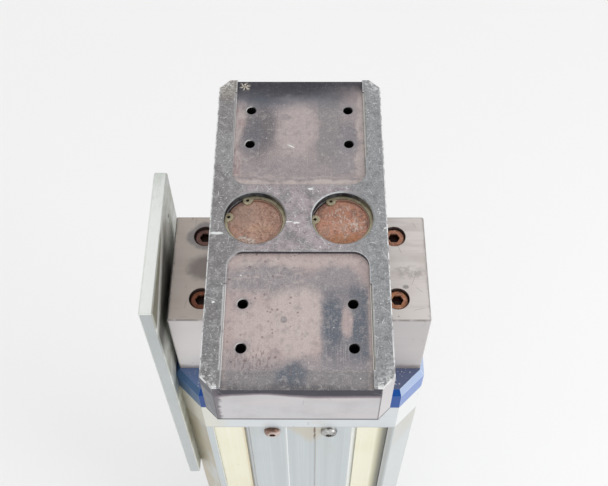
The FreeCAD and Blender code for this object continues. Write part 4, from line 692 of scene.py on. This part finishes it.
def cover_blue():
    """Blue anodised plate, dulled and speckled on its top, with painted highlights on its right corner,
    bevel and edges and painted shade on its left side, left chamfer and left-facing bevel.
    """
    mat = Recipe("cover_blue")
    top = mat.ramp(mat.up, 0.93, 0.98)
    bevel = mat.times(mat.ramp(mat.up, 0.2, 0.4), mat.but_not(top))
    brushed = mat.noise((70, 70, 0.8), 3)
    cloudy = mat.noise(22)
    specks = mat.most(mat.dots(1.6, 0.34, 0.4), mat.dots(2.8, 0.28, 0.4, 7))
    right_part = mat.times(mat.ramp(mat.x, -10, 10), 0.6)
    top_colour = mat.layers(
        (0.105, 0.15, 0.29),
        ((0.18, 0.215, 0.33), 0.8, mat.ramp(cloudy, 0.4, 0.7)),
        ((0.135, 0.205, 0.385), 0.6, mat.ramp(mat.x, -40, -80)),
        ((0.14, 0.155, 0.25), 0.6, mat.ramp(mat.x, 40, 80)),
        ((0.66, 0.69, 0.73), 0.8, specks, mat.cloud(12, 0.34, 0.52), mat.plus(0.4, right_part)),
    )
    right_bevel_highlight = mat.times(mat.ramp(mat.right, 0.2, 0.45), bevel)
    side_colour = mat.layers(
        (0.001, 0.06, 0.29),
        ((0.005, 0.082, 0.35), 0.6, mat.ramp(brushed, 0.42, 0.68)),
        ((0.004, 0.045, 0.20), 0.5, mat.ramp(cloudy, 0.55, 0.8)),
        # Painted shade: darker towards the left, on the left front chamfer and on the bevel where it faces
        # left
        ((0.003, 0.032, 0.16), 0.6, mat.ramp(mat.x, -50, -76)),
        ((0.055, 0.12, 0.205), 0.75, mat.front_corner(-1)),
        ((0.06, 0.12, 0.225), 0.7, bevel, mat.ramp(mat.right, -0.1, -0.4)),
        # Painted highlights on the right bevel and the right front chamfer
        ((0.46, 0.56, 0.76), 0.9, right_bevel_highlight),
        ((0.20, 0.295, 0.59), 0.9, mat.front_corner(1), mat.but_not(bevel)),
    )
    rim = mat.times(mat.edges(0.9, 0.95), mat.but_not(top), mat.cloud(9, 0.2, 0.45))
    colour = mat.layers(
        mat.mix(top, side_colour, top_colour),
        # Painted highlight lines along the edges, white where they face right
        ((0.16, 0.30, 0.60), 0.5, rim),
        ((0.86, 0.90, 0.96), 0.9, rim, mat.ramp(mat.right, 0.3, 0.5)),
    )
    mat.relief(mat.plus(mat.times(brushed, 0.4), mat.times(specks, 0.5)), 0.05)
    return mat.done(colour, mat.rise(0.36, top, 0.2), 0.1, 0.2)


def end_plate_silver():
    """Natural anodised end plates with fine milling marks, a painted highlight on the right front chamfer
    and warm painted shade on the left one.
    """
    mat = Recipe("end_plate_silver")
    milled = mat.noise((60, 60, 0.9), 3)
    cloudy = mat.noise(40)
    low_line = mat.band(mat.z, PROFILE_HIGH.z, PROFILE_HIGH.z + 1.2, 0.4)
    colour = mat.layers(
        (0.63, 0.665, 0.69),
        ((0.71, 0.74, 0.76), 0.5, mat.ramp(milled, 0.42, 0.68)),
        ((0.56, 0.595, 0.62), 0.5, mat.ramp(cloudy, 0.5, 0.75)),
        ((0.58, 0.56, 0.50), 0.4, mat.cloud(26, 0.56, 0.74, shift=2)),
        # Painted highlight: the right front chamfer nearly white
        ((0.81, 0.825, 0.81), 0.85, mat.front_corner(1)),
        ((0.70, 0.68, 0.58), 0.7, mat.ramp(mat.x, -55, -74), mat.ramp(mat.back, -0.3, -0.6)),
        # Warm painted shade on the left front chamfer
        ((0.50, 0.475, 0.39), 0.8, mat.front_corner(-1), mat.cloud(18, 0.15, 0.5)),
        ((0.30, 0.29, 0.27), 0.5, mat.dots(6, 0.18, 0.1)),
        ((0.82, 0.84, 0.85), 0.6, mat.edges(0.6)),
        ((0.34, 0.36, 0.37), 0.6, low_line),
    )
    mat.relief(milled, 0.03)
    return mat.done(colour, mat.rise(0.3, cloudy, 0.2), 0.3)


def profile_silver():
    """Anodised extrusion with die lines, a rust run beside the front groove, and painted light and shade on
    its front chamfers, its slot walls and the face beside the right strip.
    """
    mat = Recipe("profile_silver")
    die_lines = mat.noise((0.9, 0.9, 300), 3)
    broad_lines = mat.noise((5, 5, 500), 2, shift=6)
    cloudy = mat.noise(60)
    wavy_x, _, wavy_z = mat.split(mat.wavered((6, 1.6)))
    front = mat.ramp(mat.back, -0.3, -0.6)
    below = mat.math("SUBTRACT", PROFILE_HIGH.z, wavy_z)
    run = mat.times(mat.band(wavy_x, 11.2, 12.5, 0.4), mat.ramp(below, 34, 20))
    near_run = mat.rise(mat.size(mat.plus(wavy_x, -8)), below, 0.55)
    shade_past_strip = mat.band(mat.x, STRIP_HIGH.x, STRIP_HIGH.x + 4.5, 1.5)
    sheltered = mat.ramp(mat.off_y, PROFILE_HIGH.y - 0.2, PROFILE_HIGH.y - 0.8)
    slotted = mat.times(sheltered, mat.band(mat.off_x, GROOVE_HALF - 0.5, STRIP_HIGH.x + 1.2, 0.2))
    lit_wall = mat.times(slotted, mat.ramp(mat.right, 0.3, 0.5))
    shaded_wall = mat.times(slotted, mat.ramp(mat.right, -0.3, -0.5))
    outer_wall = mat.ramp(mat.off_x, STRIP_HIGH.x - 1.0, STRIP_HIGH.x)
    deep_down = mat.ramp(mat.off_y, PROFILE_HIGH.y - 1.6, PROFILE_HIGH.y - 3)
    shaded_inner_wall = mat.times(shaded_wall, mat.but_not(outer_wall))
    smooth = mat.but_not(slotted)
    shaded_left_chamfer = mat.times(mat.front_corner(-1), smooth)
    lit_right_chamfer = mat.times(mat.front_corner(1), smooth)
    colour = mat.layers(
        (0.515, 0.562, 0.578),
        ((0.60, 0.637, 0.648), 0.5, mat.ramp(die_lines, 0.42, 0.66)),
        ((0.475, 0.515, 0.53), 0.6, mat.ramp(broad_lines, 0.48, 0.62)),
        ((0.50, 0.535, 0.55), 0.4, mat.ramp(cloudy, 0.5, 0.8)),
        ((0.48, 0.475, 0.43), 0.35, mat.cloud((30, 30, 90), 0.5, 0.75)),
        # Warm painted shadow of the side plate on the left front chamfer
        ((0.42, 0.36, 0.235), 0.85, shaded_left_chamfer, mat.cloud((14, 14, 60), 0.2, 0.55)),
        # Painted light on the right front chamfer
        ((0.61, 0.635, 0.64), 0.75, lit_right_chamfer),
        ((0.56, 0.52, 0.43), 0.5, lit_right_chamfer, mat.ramp(below, 70, 10), mat.cloud(20, 0.3, 0.6)),
        ((0.55, 0.475, 0.35), 0.6, front, mat.ramp(near_run, 26, 14), mat.cloud(14, 0.05, 0.35)),
        # Painted shade on the face just outside the right strip
        ((0.33, 0.335, 0.31), 0.7, front, shade_past_strip),
        # Painted light and shade on the slot walls by the way they face: pale where they face right, bluish
        # grey where they face left, painted light deep in the crevices beside the strips, and dark on the
        # right slot's outer wall
        ((0.88, 0.90, 0.91), 0.9, lit_wall),
        ((0.37, 0.42, 0.49), 0.9, shaded_inner_wall),
        ((0.70, 0.74, 0.80), 0.95, shaded_inner_wall, deep_down),
        ((0.28, 0.285, 0.275), 0.9, shaded_wall, outer_wall),
        ((0.14, 0.075, 0.035), 0.95, run, front, mat.cloud(6, 0.2, 0.4)),
        ((0.80, 0.82, 0.83), 0.6, mat.edges(0.5), smooth),
    )
    mat.relief(mat.plus(mat.times(die_lines, 0.5), broad_lines), 0.04)
    return mat.done(colour, mat.rise(0.3, cloudy, 0.16), 0.3)


def strip_cream():
    """Cream plastic strips, faintly yellowed and dusty, with painted shadow along the left strip's inner
    edge and the right strip's outer edge.
    """
    mat = Recipe("strip_cream")
    streak = mat.noise((1.6, 1.6, 160), 3)
    cloudy = mat.noise(50)
    left_strip_shadow = mat.times(
        mat.ramp(mat.x, -STRIP_LOW.x - 2.6, -STRIP_LOW.x - 0.4),
        mat.ramp(mat.x, -STRIP_LOW.x + 2, -STRIP_LOW.x + 1.0),
    )
    right_strip_shadow = mat.ramp(mat.x, STRIP_HIGH.x - 9.5, STRIP_HIGH.x - 5.5)
    colour = mat.layers(
        (0.82, 0.795, 0.632),
        ((0.78, 0.745, 0.555), 0.6, mat.ramp(cloudy, 0.45, 0.75)),
        ((0.87, 0.85, 0.745), 0.5, mat.ramp(streak, 0.48, 0.72)),
        # Painted shadow along the strips' edges, cast by the slot lips
        ((0.66, 0.56, 0.36), 0.7, left_strip_shadow),
        ((0.47, 0.45, 0.31), 0.8, right_strip_shadow),
        ((0.19, 0.19, 0.165), 0.9, mat.ramp(mat.x, STRIP_HIGH.x - 6.5, STRIP_HIGH.x - 1.5)),
        ((0.40, 0.37, 0.30), 0.5, mat.dots(6, 0.16, 0.12)),
    )
    mat.relief(streak, 0.03)
    return mat.done(colour, mat.rise(0.42, cloudy, 0.2))


def side_plate_zinc():
    """Zinc plated sheet with a pale greenish cast, drawn grain, dull patches and a grimy inner face, with
    painted light on its top edge and, on the inner face's front part above the block, painted shade, a
    painted lit strip and painted shadow.
    """
    mat = Recipe("side_plate_zinc")
    drawn = mat.noise((1.2, 1.2, 70), 3)
    patches = mat.cloud(26, 0.5, 0.68, shift=3)
    inner = mat.ramp(mat.right, 0.5, 0.9)
    below = mat.math("SUBTRACT", SIDE_HIGH.z, mat.z)
    slanted = mat.plus(below, mat.times(mat.y, 0.3), mat.times(mat.noise(9), 1.6))
    # Front part of the inner face above the block, which carries painted shade, a painted lit strip and
    # painted shadow
    ahead = mat.times(inner, mat.ramp(mat.y, 24, 2), mat.ramp(below, 70, 45))
    marks = mat.most(
        mat.scratches(9, 8, 0.25, 0.4),
        mat.scratches(9, 8, 0.25, 0.4, across=mat.y, along=mat.z),
    )
    colour = mat.layers(
        (0.74, 0.765, 0.735),
        ((0.82, 0.84, 0.81), 0.5, mat.ramp(drawn, 0.42, 0.68)),
        ((0.59, 0.62, 0.58), 0.6, patches),
        ((0.56, 0.59, 0.54), 0.45, mat.cloud((1.8, 7, 7), 0.5, 0.66, shift=9)),
        # Painted light on the top edge face, fading towards the rear
        ((0.87, 0.89, 0.86), 0.75, mat.ramp(mat.up, 0.5, 0.9), mat.ramp(mat.y, 58, 10)),
        ((0.86, 0.88, 0.85), 0.6, marks),
        ((0.45, 0.45, 0.36), 0.7, inner, mat.cloud(12, 0.3, 0.65)),
        # Painted shade under the top edge, a painted lit strip below it, and near-black painted shadow down
        # by the block
        ((0.30, 0.29, 0.20), 0.8, ahead, mat.ramp(slanted, 5, 2.5)),
        ((0.94, 0.95, 0.92), 0.95, ahead, mat.band(slanted, 5, 10.5, 1.0)),
        ((0.06, 0.058, 0.05), 0.9, ahead, mat.ramp(slanted, 12, 19)),
        ((0.30, 0.32, 0.25), 0.6, mat.edges(0.8), mat.cloud(8, 0.25, 0.5)),
        ((0.41, 0.44, 0.45), 0.8, mat.ramp(mat.back, -0.7, -0.9)),
    )
    mat.relief(mat.plus(mat.times(drawn, 0.6), mat.times(patches, 0.6)), 0.05)
    return mat.done(colour, mat.rise(0.36, mat.noise(30), 0.2), 0.25)


def side_screw_zinc():
    """Plated countersunk screws, greyed in their sockets."""
    mat = Recipe("side_screw_zinc")
    cloudy = mat.noise(4)
    deep = mat.ramp(mat.x, SIDE_LOW.x + 0.5, SIDE_LOW.x + 2.5)
    colour = mat.layers(
        (0.58, 0.59, 0.57),
        ((0.42, 0.41, 0.38), 0.8, mat.ramp(cloudy, 0.45, 0.7)),
        ((0.12, 0.115, 0.11), 0.7, deep),
    )
    mat.relief(cloudy, 0.04)
    return mat.done(colour, mat.rise(0.28, cloudy, 0.25), 0.7)


def lug_places():
    """Centres of the holes in the rings' lugs."""
    for side, turns in LUG_TURNS.items():
        for turn in turns:
            angle = math.radians(turn)
            yield side * ROD_X + LUG_REACH * math.cos(angle), LUG_REACH * math.sin(angle)


def rod_steel():
    """Ground steel rods with rusted, crusted heads, a painted shadow inside each ring and painted shade seen
    through the lug holes.
    """
    mat = Recipe("rod_steel")
    head = mat.ramp(mat.z, ROD_HIGH.z - 3, ROD_HIGH.z - 1.5)
    right_one = mat.ramp(mat.x, -5, 5)
    wavy = mat.wavered((9, 4), (2, 1.2))
    stain = partial(mat.spot, wavy)
    grit = mat.noise(1.3, 4, 0.65)
    lumps = mat.noise(6, 4, 0.6)
    streaky = mat.noise((1.2, 2.6, 2.4), 4, 0.65, shift=8)
    crusted = mat.rise(streaky, mat.noise(8, 2, shift=4), 0.45)
    crust = mat.times(mat.ramp(crusted, 0.72, 0.80), mat.cloud(6, 0.38, 0.52, shift=3))
    pits = mat.most(mat.dots(2, 0.26, 0.25), mat.scratches(4, 3.5, 0.24, 0.3))
    ring_shadow = mat.ramp(mat.away(ROD_X, mat.y), RING_REACH - 1.4, RING_REACH)
    scored = mat.scratches(4, 5, 0.5, 0.6, shift=9)
    white_spot = stain(32, 1.0, 13, 13, 0.4)
    lug_hole_shade = mat.most(*(mat.spot(mat.place, x, y, 1.7, 1.7, 0.25) for x, y in lug_places()))
    rust = mat.layers(
        mat.mix(right_one, (0.46, 0.265, 0.198), (0.545, 0.255, 0.172)),
        ((0.51, 0.345, 0.275), 0.7, mat.ramp(lumps, 0.46, 0.66)),
        ((0.27, 0.145, 0.105), 0.8, mat.ramp(lumps, 0.47, 0.34)),
        ((0.18, 0.08, 0.052), 0.5, mat.ramp(grit, 0.53, 0.64)),
        ((0.68, 0.465, 0.37), 0.6, mat.ramp(grit, 0.46, 0.36)),
        ((0.46, 0.20, 0.085), 0.65, stain(33, -15, 13, 6, 0.5)),
        ((0.34, 0.24, 0.20), 0.55, stain(-37, 6, 9, 10, 0.5)),
        ((0.34, 0.155, 0.105), 0.5, stain(25, 8, 9, 7, 0.5)),
        ((0.60, 0.37, 0.25), 0.55, stain(-26, -4, 9, 4.5, 0.5), mat.ramp(grit, 0.62, 0.46)),
        ((0.74, 0.60, 0.53), 0.55, scored, stain(32, -3, 10, 9)),
        ((0.30, 0.12, 0.06), 0.6, mat.ramp(lumps, 0.55, 0.68), mat.ramp(mat.y, 2, -16), right_one),
        ((0.16, 0.07, 0.05), 0.45, pits, mat.most(right_one, 0.5)),
        ((0.76, 0.65, 0.58), 0.62, crust, mat.most(white_spot, 0.2)),
        ((0.74, 0.70, 0.64), 0.85, stain(-37, -15, 6, 3.6, 0.5), mat.cloud(1.6, 0.42, 0.56)),
        # Painted shadow of the ring on its upper side, and near-black painted shade seen through the lug
        # holes
        ((0.08, 0.045, 0.035), 0.4, ring_shadow, mat.ramp(mat.y, -14, -4)),
        ((0.012, 0.008, 0.006), 1.0, lug_hole_shade),
    )
    ground = mat.noise((5, 5, 0.4), 2)
    steel = mat.mix(mat.ramp(ground, 0.4, 0.7), (0.55, 0.56, 0.57), (0.66, 0.665, 0.67))
    mat.relief(mat.plus(mat.times(head, mat.plus(grit, crust)), mat.times(ground, 0.05)), 0.3)
    rough = mat.rise(0.22, head, 0.5)
    return mat.done(mat.mix(head, steel, rust), rough, mat.rise(0.85, head, -0.82))


def ring_chromate():
    """Spring steel with a yellow chromate film, painted highlights on its lower part and edges, rust crept
    over its inner rim, and a painted shadow line along that rust.
    """
    mat = Recipe("ring_chromate")
    cloudy = mat.noise(5)
    ragged = mat.rise(mat.away(ROD_X, mat.y), mat.noise(2.4, 3), 0.8)
    lugs = mat.most(*(mat.spot(mat.place, x, y, 4, 4, 0.12) for x, y in lug_places()))
    off_lugs = mat.but_not(lugs)
    crept = mat.times(mat.ramp(ragged, RING_REACH + 1.4, RING_REACH + 1.0), off_lugs)
    rim = mat.times(mat.band(ragged, RING_REACH + 0.9, RING_REACH + 1.4, 0.2), off_lugs)
    colour = mat.layers(
        (0.34, 0.295, 0.195),
        ((0.50, 0.455, 0.32), 0.8, mat.ramp(cloudy, 0.42, 0.64)),
        ((0.12, 0.085, 0.05), 0.7, mat.dots(1.6, 0.3, 0.2)),
        # Painted highlights: lighter towards the lower side, and along the edges
        ((0.62, 0.56, 0.37), 0.5, mat.ramp(mat.y, 2, -12)),
        ((0.70, 0.66, 0.50), 0.7, mat.edges(0.4, 0.92)),
        ((0.34, 0.195, 0.145), 0.9, crept, mat.cloud(1.6, 0.15, 0.4)),
        # Painted shadow line at the edge of the crept rust, on the upper side
        ((0.05, 0.032, 0.025), 0.85, rim, mat.ramp(mat.y, -14, -4)),
    )
    mat.relief(cloudy, 0.05)
    return mat.done(colour, mat.rise(0.3, cloudy, 0.25), 0.4)


def cap_screw_steel():
    """Black socket head screws, rusted copper brown on top, with painted shade on the left ones."""
    mat = Recipe("cap_screw_steel")
    deep = mat.ramp(mat.z, CAP_HIGH.z - 1.0, CAP_HIGH.z - 3)
    lumps = mat.noise(3.4, 4)
    grit = mat.noise(1.0, 3)
    left, right = mat.ramp(mat.x, 0, -10), mat.ramp(mat.x, -10, 0)
    colour = mat.layers(
        (0.46, 0.21, 0.135),
        ((0.27, 0.115, 0.075), 0.85, mat.ramp(lumps, 0.44, 0.6)),
        ((0.63, 0.37, 0.26), 0.8, mat.ramp(lumps, 0.42, 0.28)),
        ((0.46, 0.19, 0.07), 0.6, mat.ramp(mat.y, 10, -10), mat.cloud(4, 0.42, 0.6, shift=5)),
        # Painted shade on the left screws, over deeper red rust on the front one
        ((0.13, 0.078, 0.076), 0.82, left, mat.ramp(mat.y, 0, 10)),
        ((0.15, 0.045, 0.026), 0.78, left, mat.ramp(mat.y, 0, -10)),
        ((0.66, 0.50, 0.41), 0.5, mat.ramp(grit, 0.55, 0.7), right),
        ((0.76, 0.52, 0.36), 0.6, mat.edges(0.6, 0.9), mat.most(right, 0.25)),
        ((0.020, 0.006, 0.004), 1.0, deep),
    )
    mat.relief(mat.plus(lumps, grit), 0.1)
    rough = mat.rise(0.34, lumps, 0.3)
    return mat.done(colour, rough, mat.times(mat.but_not(deep), 0.3), 0.2)


def button_screw_steel():
    """Plated button heads; the left ones have turned coppery, with a painted highlight on their domes and
    painted shadow on their upper side under the end plate.
    """
    mat = Recipe("button_screw_steel")
    cloudy = mat.noise(4)
    left = mat.times(mat.ramp(mat.x, 3, -3), mat.cloud(5, 0.2, 0.5))
    colour = mat.layers(
        (0.47, 0.47, 0.46),
        ((0.10, 0.09, 0.085), 0.9, mat.ramp(cloudy, 0.46, 0.6)),
        ((0.25, 0.145, 0.105), 0.85, left),
        # Painted highlight on the left heads' domes
        ((0.68, 0.58, 0.53), 0.8, left, mat.ramp(mat.up, 0.62, 0.42), mat.ramp(mat.right, -0.4, 0.1)),
        # Painted shadow on the upper side of the left heads, under the end plate
        ((0.10, 0.055, 0.04), 0.8, left, mat.ramp(mat.up, 0.6, 0.8)),
    )
    mat.relief(cloudy, 0.06)
    return mat.done(colour, mat.rise(0.2, cloudy, 0.25), 0.85)


def plain_metal(name, light, dark, size, roughness, metallic):
    """Metal with cloudy tone, fine turning grain and slight relief."""
    mat = Recipe(name)
    cloudy = mat.noise(size)
    turned = mat.noise((4, 4, 0.5), 2)
    colour = mat.layers(
        light,
        (dark, 1.0, mat.ramp(cloudy, 0.42, 0.7)),
        (light, 0.3, mat.ramp(turned, 0.45, 0.7)),
    )
    mat.relief(mat.plus(cloudy, turned), 0.03)
    return mat.done(colour, mat.rise(roughness - 0.1, cloudy, 0.2), metallic)


def plain_soft(name, light, dark, size, roughness):
    """Rubber or plastic with cloudy tone, dust and a fine grain."""
    mat = Recipe(name)
    cloudy = mat.noise(size)
    grain = mat.noise(0.7, 2)
    colour = mat.layers(
        dark,
        (light, 1.0, mat.ramp(cloudy, 0.4, 0.7)),
        ((0.45, 0.43, 0.40), 0.3, mat.dots(2.4, 0.25, 0.1)),
    )
    mat.relief(grain, 0.05)
    return mat.done(colour, mat.rise(roughness - 0.08, cloudy, 0.16))


# Materials with a function of their own, then metals and soft ones by their lighter and darker tone, size of
# their clouds, roughness and, for metals, metallic share
COATS = (
    load_plate_coat, block_coat, cover_blue, end_plate_silver, profile_silver, strip_cream,
    side_plate_zinc, side_screw_zinc, rod_steel, ring_chromate, cap_screw_steel, button_screw_steel,
)
PLAIN_METALS = {
    "bush_bronze": ((0.62, 0.43, 0.19), (0.50, 0.33, 0.14), 11.0, 0.35, 0.9),
    "bearing_steel": ((0.64, 0.65, 0.67), (0.52, 0.53, 0.55), 12.0, 0.3, 0.9),
    "drive_steel": ((0.52, 0.53, 0.55), (0.40, 0.41, 0.43), 12.0, 0.35, 0.9),
    "inner_aluminium": ((0.72, 0.73, 0.74), (0.62, 0.63, 0.64), 25.0, 0.4, 0.7),
    "socket_nickel": ((0.64, 0.63, 0.60), (0.54, 0.53, 0.50), 6.0, 0.32, 0.85),
}
PLAIN_SOFTS = {
    "wiper_rubber": ((0.05, 0.05, 0.052), (0.025, 0.025, 0.027), 11.0, 0.55),
    "bumper_rubber": ((0.14, 0.10, 0.055), (0.09, 0.06, 0.03), 16.0, 0.5),
    "shoe_plastic": ((0.86, 0.86, 0.83), (0.80, 0.80, 0.76), 25.0, 0.45),
    "spider_rubber": ((0.45, 0.06, 0.05), (0.36, 0.045, 0.04), 16.0, 0.5),
    "motor_black": ((0.05, 0.05, 0.055), (0.03, 0.03, 0.034), 32.0, 0.45),
    "socket_insulator": ((0.04, 0.04, 0.042), (0.02, 0.02, 0.022), 8.0, 0.5),
}


def make_materials():
    """Every material by its slot."""
    made = {coat.__name__: coat() for coat in COATS}
    made.update((name, plain_metal(name, *look)) for name, look in PLAIN_METALS.items())
    made.update((name, plain_soft(name, *look)) for name, look in PLAIN_SOFTS.items())
    return made


def dress_nodes():
    """Give every solid the material of its slot."""
    materials = make_materials()
    for part in frame["record"]["subparts"]:
        mesh = NODES[part["node"]].data
        mesh.materials.clear()
        mesh.materials.append(materials[part["material_slot"]])


def dress_pockets():
    """Give the floors of the load plate's two pockets coats of their own."""
    mesh = NODES["load_plate"].data
    front_slot, rear_slot = len(mesh.materials), len(mesh.materials) + 1
    mesh.materials.append(pocket_coat("front_pocket_coat", front_pocket_colour))
    mesh.materials.append(pocket_coat("rear_pocket_coat", rear_pocket_colour))
    for face in mesh.polygons:
        depth = LOAD_HIGH.z - face.center.z / MM
        looks_up = face.normal.z > LEAST_UP
        if looks_up and abs(depth - POCKET_DEPTH) < DEPTH_SLACK:
            face.material_index = front_slot if face.center.y < 0.0 else rear_slot


# Camera as solved from the photograph, whose frame is 608 by 486 pixels
CAMERA_PLACE = Vector((0.00776, -0.3519, 1.3681))
CAMERA_PITCH, CAMERA_YAW, CAMERA_ROLL = (math.radians(angle) for angle in (57.42, -0.69, 0.52))
FOCAL_PIXELS = 917.2
IMAGE_WIDTH = 608
SENSOR_WIDTH = 36.0
NEAREST_SEEN = 0.01


def make_camera():
    """Camera at the photograph's place and angle."""
    data = bpy.data.cameras.new("photo_camera")
    data.sensor_fit = "HORIZONTAL"
    data.sensor_width = SENSOR_WIDTH
    data.lens = FOCAL_PIXELS / IMAGE_WIDTH * SENSOR_WIDTH
    data.clip_start = NEAREST_SEEN
    camera = bpy.data.objects.new("photo_camera", data)
    SCENE.collection.objects.link(camera)
    level = math.cos(CAMERA_PITCH)
    ahead = Vector((math.sin(CAMERA_YAW) * level, math.cos(CAMERA_YAW) * level, -math.sin(CAMERA_PITCH)))
    across = Vector((math.cos(CAMERA_YAW), -math.sin(CAMERA_YAW), 0.0))
    below = ahead.cross(across)
    side = math.cos(CAMERA_ROLL) * across + math.sin(CAMERA_ROLL) * below
    under = -math.sin(CAMERA_ROLL) * across + math.cos(CAMERA_ROLL) * below
    turn = Matrix((side, -under, -ahead)).transposed()
    camera.matrix_world = Matrix.Translation(CAMERA_PLACE) @ turn.to_4x4()
    SCENE.camera = camera


# Floor: how far it reaches and how far it lies below the foot plate, in metres
FLOOR_REACH = 12.0
FLOOR_GAP = 0.0002

# Light: strength of the surroundings, then for each soft light its place, width, height and radiance
AMBIENT = 0.9
LIT_POINT = Vector((0.0, 0.0, 0.7))
SOFTBOXES = {
    "key_right": (Vector((1.8, -0.9, 1.5)), 1.2, 1.0, 3.0),
    "fill_front": (Vector((-0.7, -2.3, 1.2)), 1.6, 1.0, 0.7),
}


def make_softbox(name, place, width, height, radiance):
    """Rectangular soft light that faces the lit point, by the radiance of its face."""
    data = bpy.data.lights.new(name, "AREA")
    data.shape = "RECTANGLE"
    data.size = width
    data.size_y = height
    data.energy = radiance * math.pi * width * height
    lamp = bpy.data.objects.new(name, data)
    lamp.location = place
    lamp.rotation_euler = (LIT_POINT - place).to_track_quat("-Z", "Y").to_euler()
    lamp.visible_camera = False
    SCENE.collection.objects.link(lamp)


def make_world():
    """Even surroundings: white where they are seen or mirrored, dimmer as a light."""
    world = bpy.data.worlds.new("studio")
    world.use_nodes = True
    nodes, link = world.node_tree.nodes, world.node_tree.links.new
    nodes.clear()
    path = nodes.new("ShaderNodeLightPath")
    seen = path.outputs["Is Camera Ray"]
    for name in ("Is Glossy Ray", "Is Transmission Ray"):
        either = nodes.new("ShaderNodeMath")
        either.operation = "MAXIMUM"
        link(seen, either.inputs[0])
        link(path.outputs[name], either.inputs[1])
        seen = either.outputs[0]
    mixed = nodes.new("ShaderNodeMixShader")
    link(seen, mixed.inputs[0])
    for slot, strength in ((1, AMBIENT), (2, 1.0)):
        sky = nodes.new("ShaderNodeBackground")
        sky.inputs["Color"].default_value = (1.0, 1.0, 1.0, 1.0)
        sky.inputs["Strength"].default_value = strength
        link(sky.outputs[0], mixed.inputs[slot])
    out = nodes.new("ShaderNodeOutputWorld")
    link(mixed.outputs[0], out.inputs["Surface"])
    SCENE.world = world


def make_floor():
    """Plain pale floor under the foot plate."""
    mat = Recipe("studio_floor")
    mat.done(mat.mix(mat.noise(600.0, 2.0), (0.92, 0.92, 0.92), (0.945, 0.945, 0.945)), 0.9)
    mesh = bpy.data.meshes.new("studio_floor")
    corners = [(x * FLOOR_REACH, y * FLOOR_REACH, 0.0) for x, y in ((-1, -1), (1, -1), (1, 1), (-1, 1))]
    mesh.from_pydata(corners, [], [(0, 1, 2, 3)])
    mesh.materials.append(mat.material)
    floor = bpy.data.objects.new("studio_floor", mesh)
    floor.location.z = cad_low.z - FLOOR_GAP
    SCENE.collection.objects.link(floor)


def make_studio():
    """Floor, surroundings and soft lights."""
    make_floor()
    make_world()
    for name, light in SOFTBOXES.items():
        make_softbox(name, *light)
    SCENE.view_settings.view_transform = "Standard"


dress_nodes()
dress_pockets()
make_camera()
make_studio()
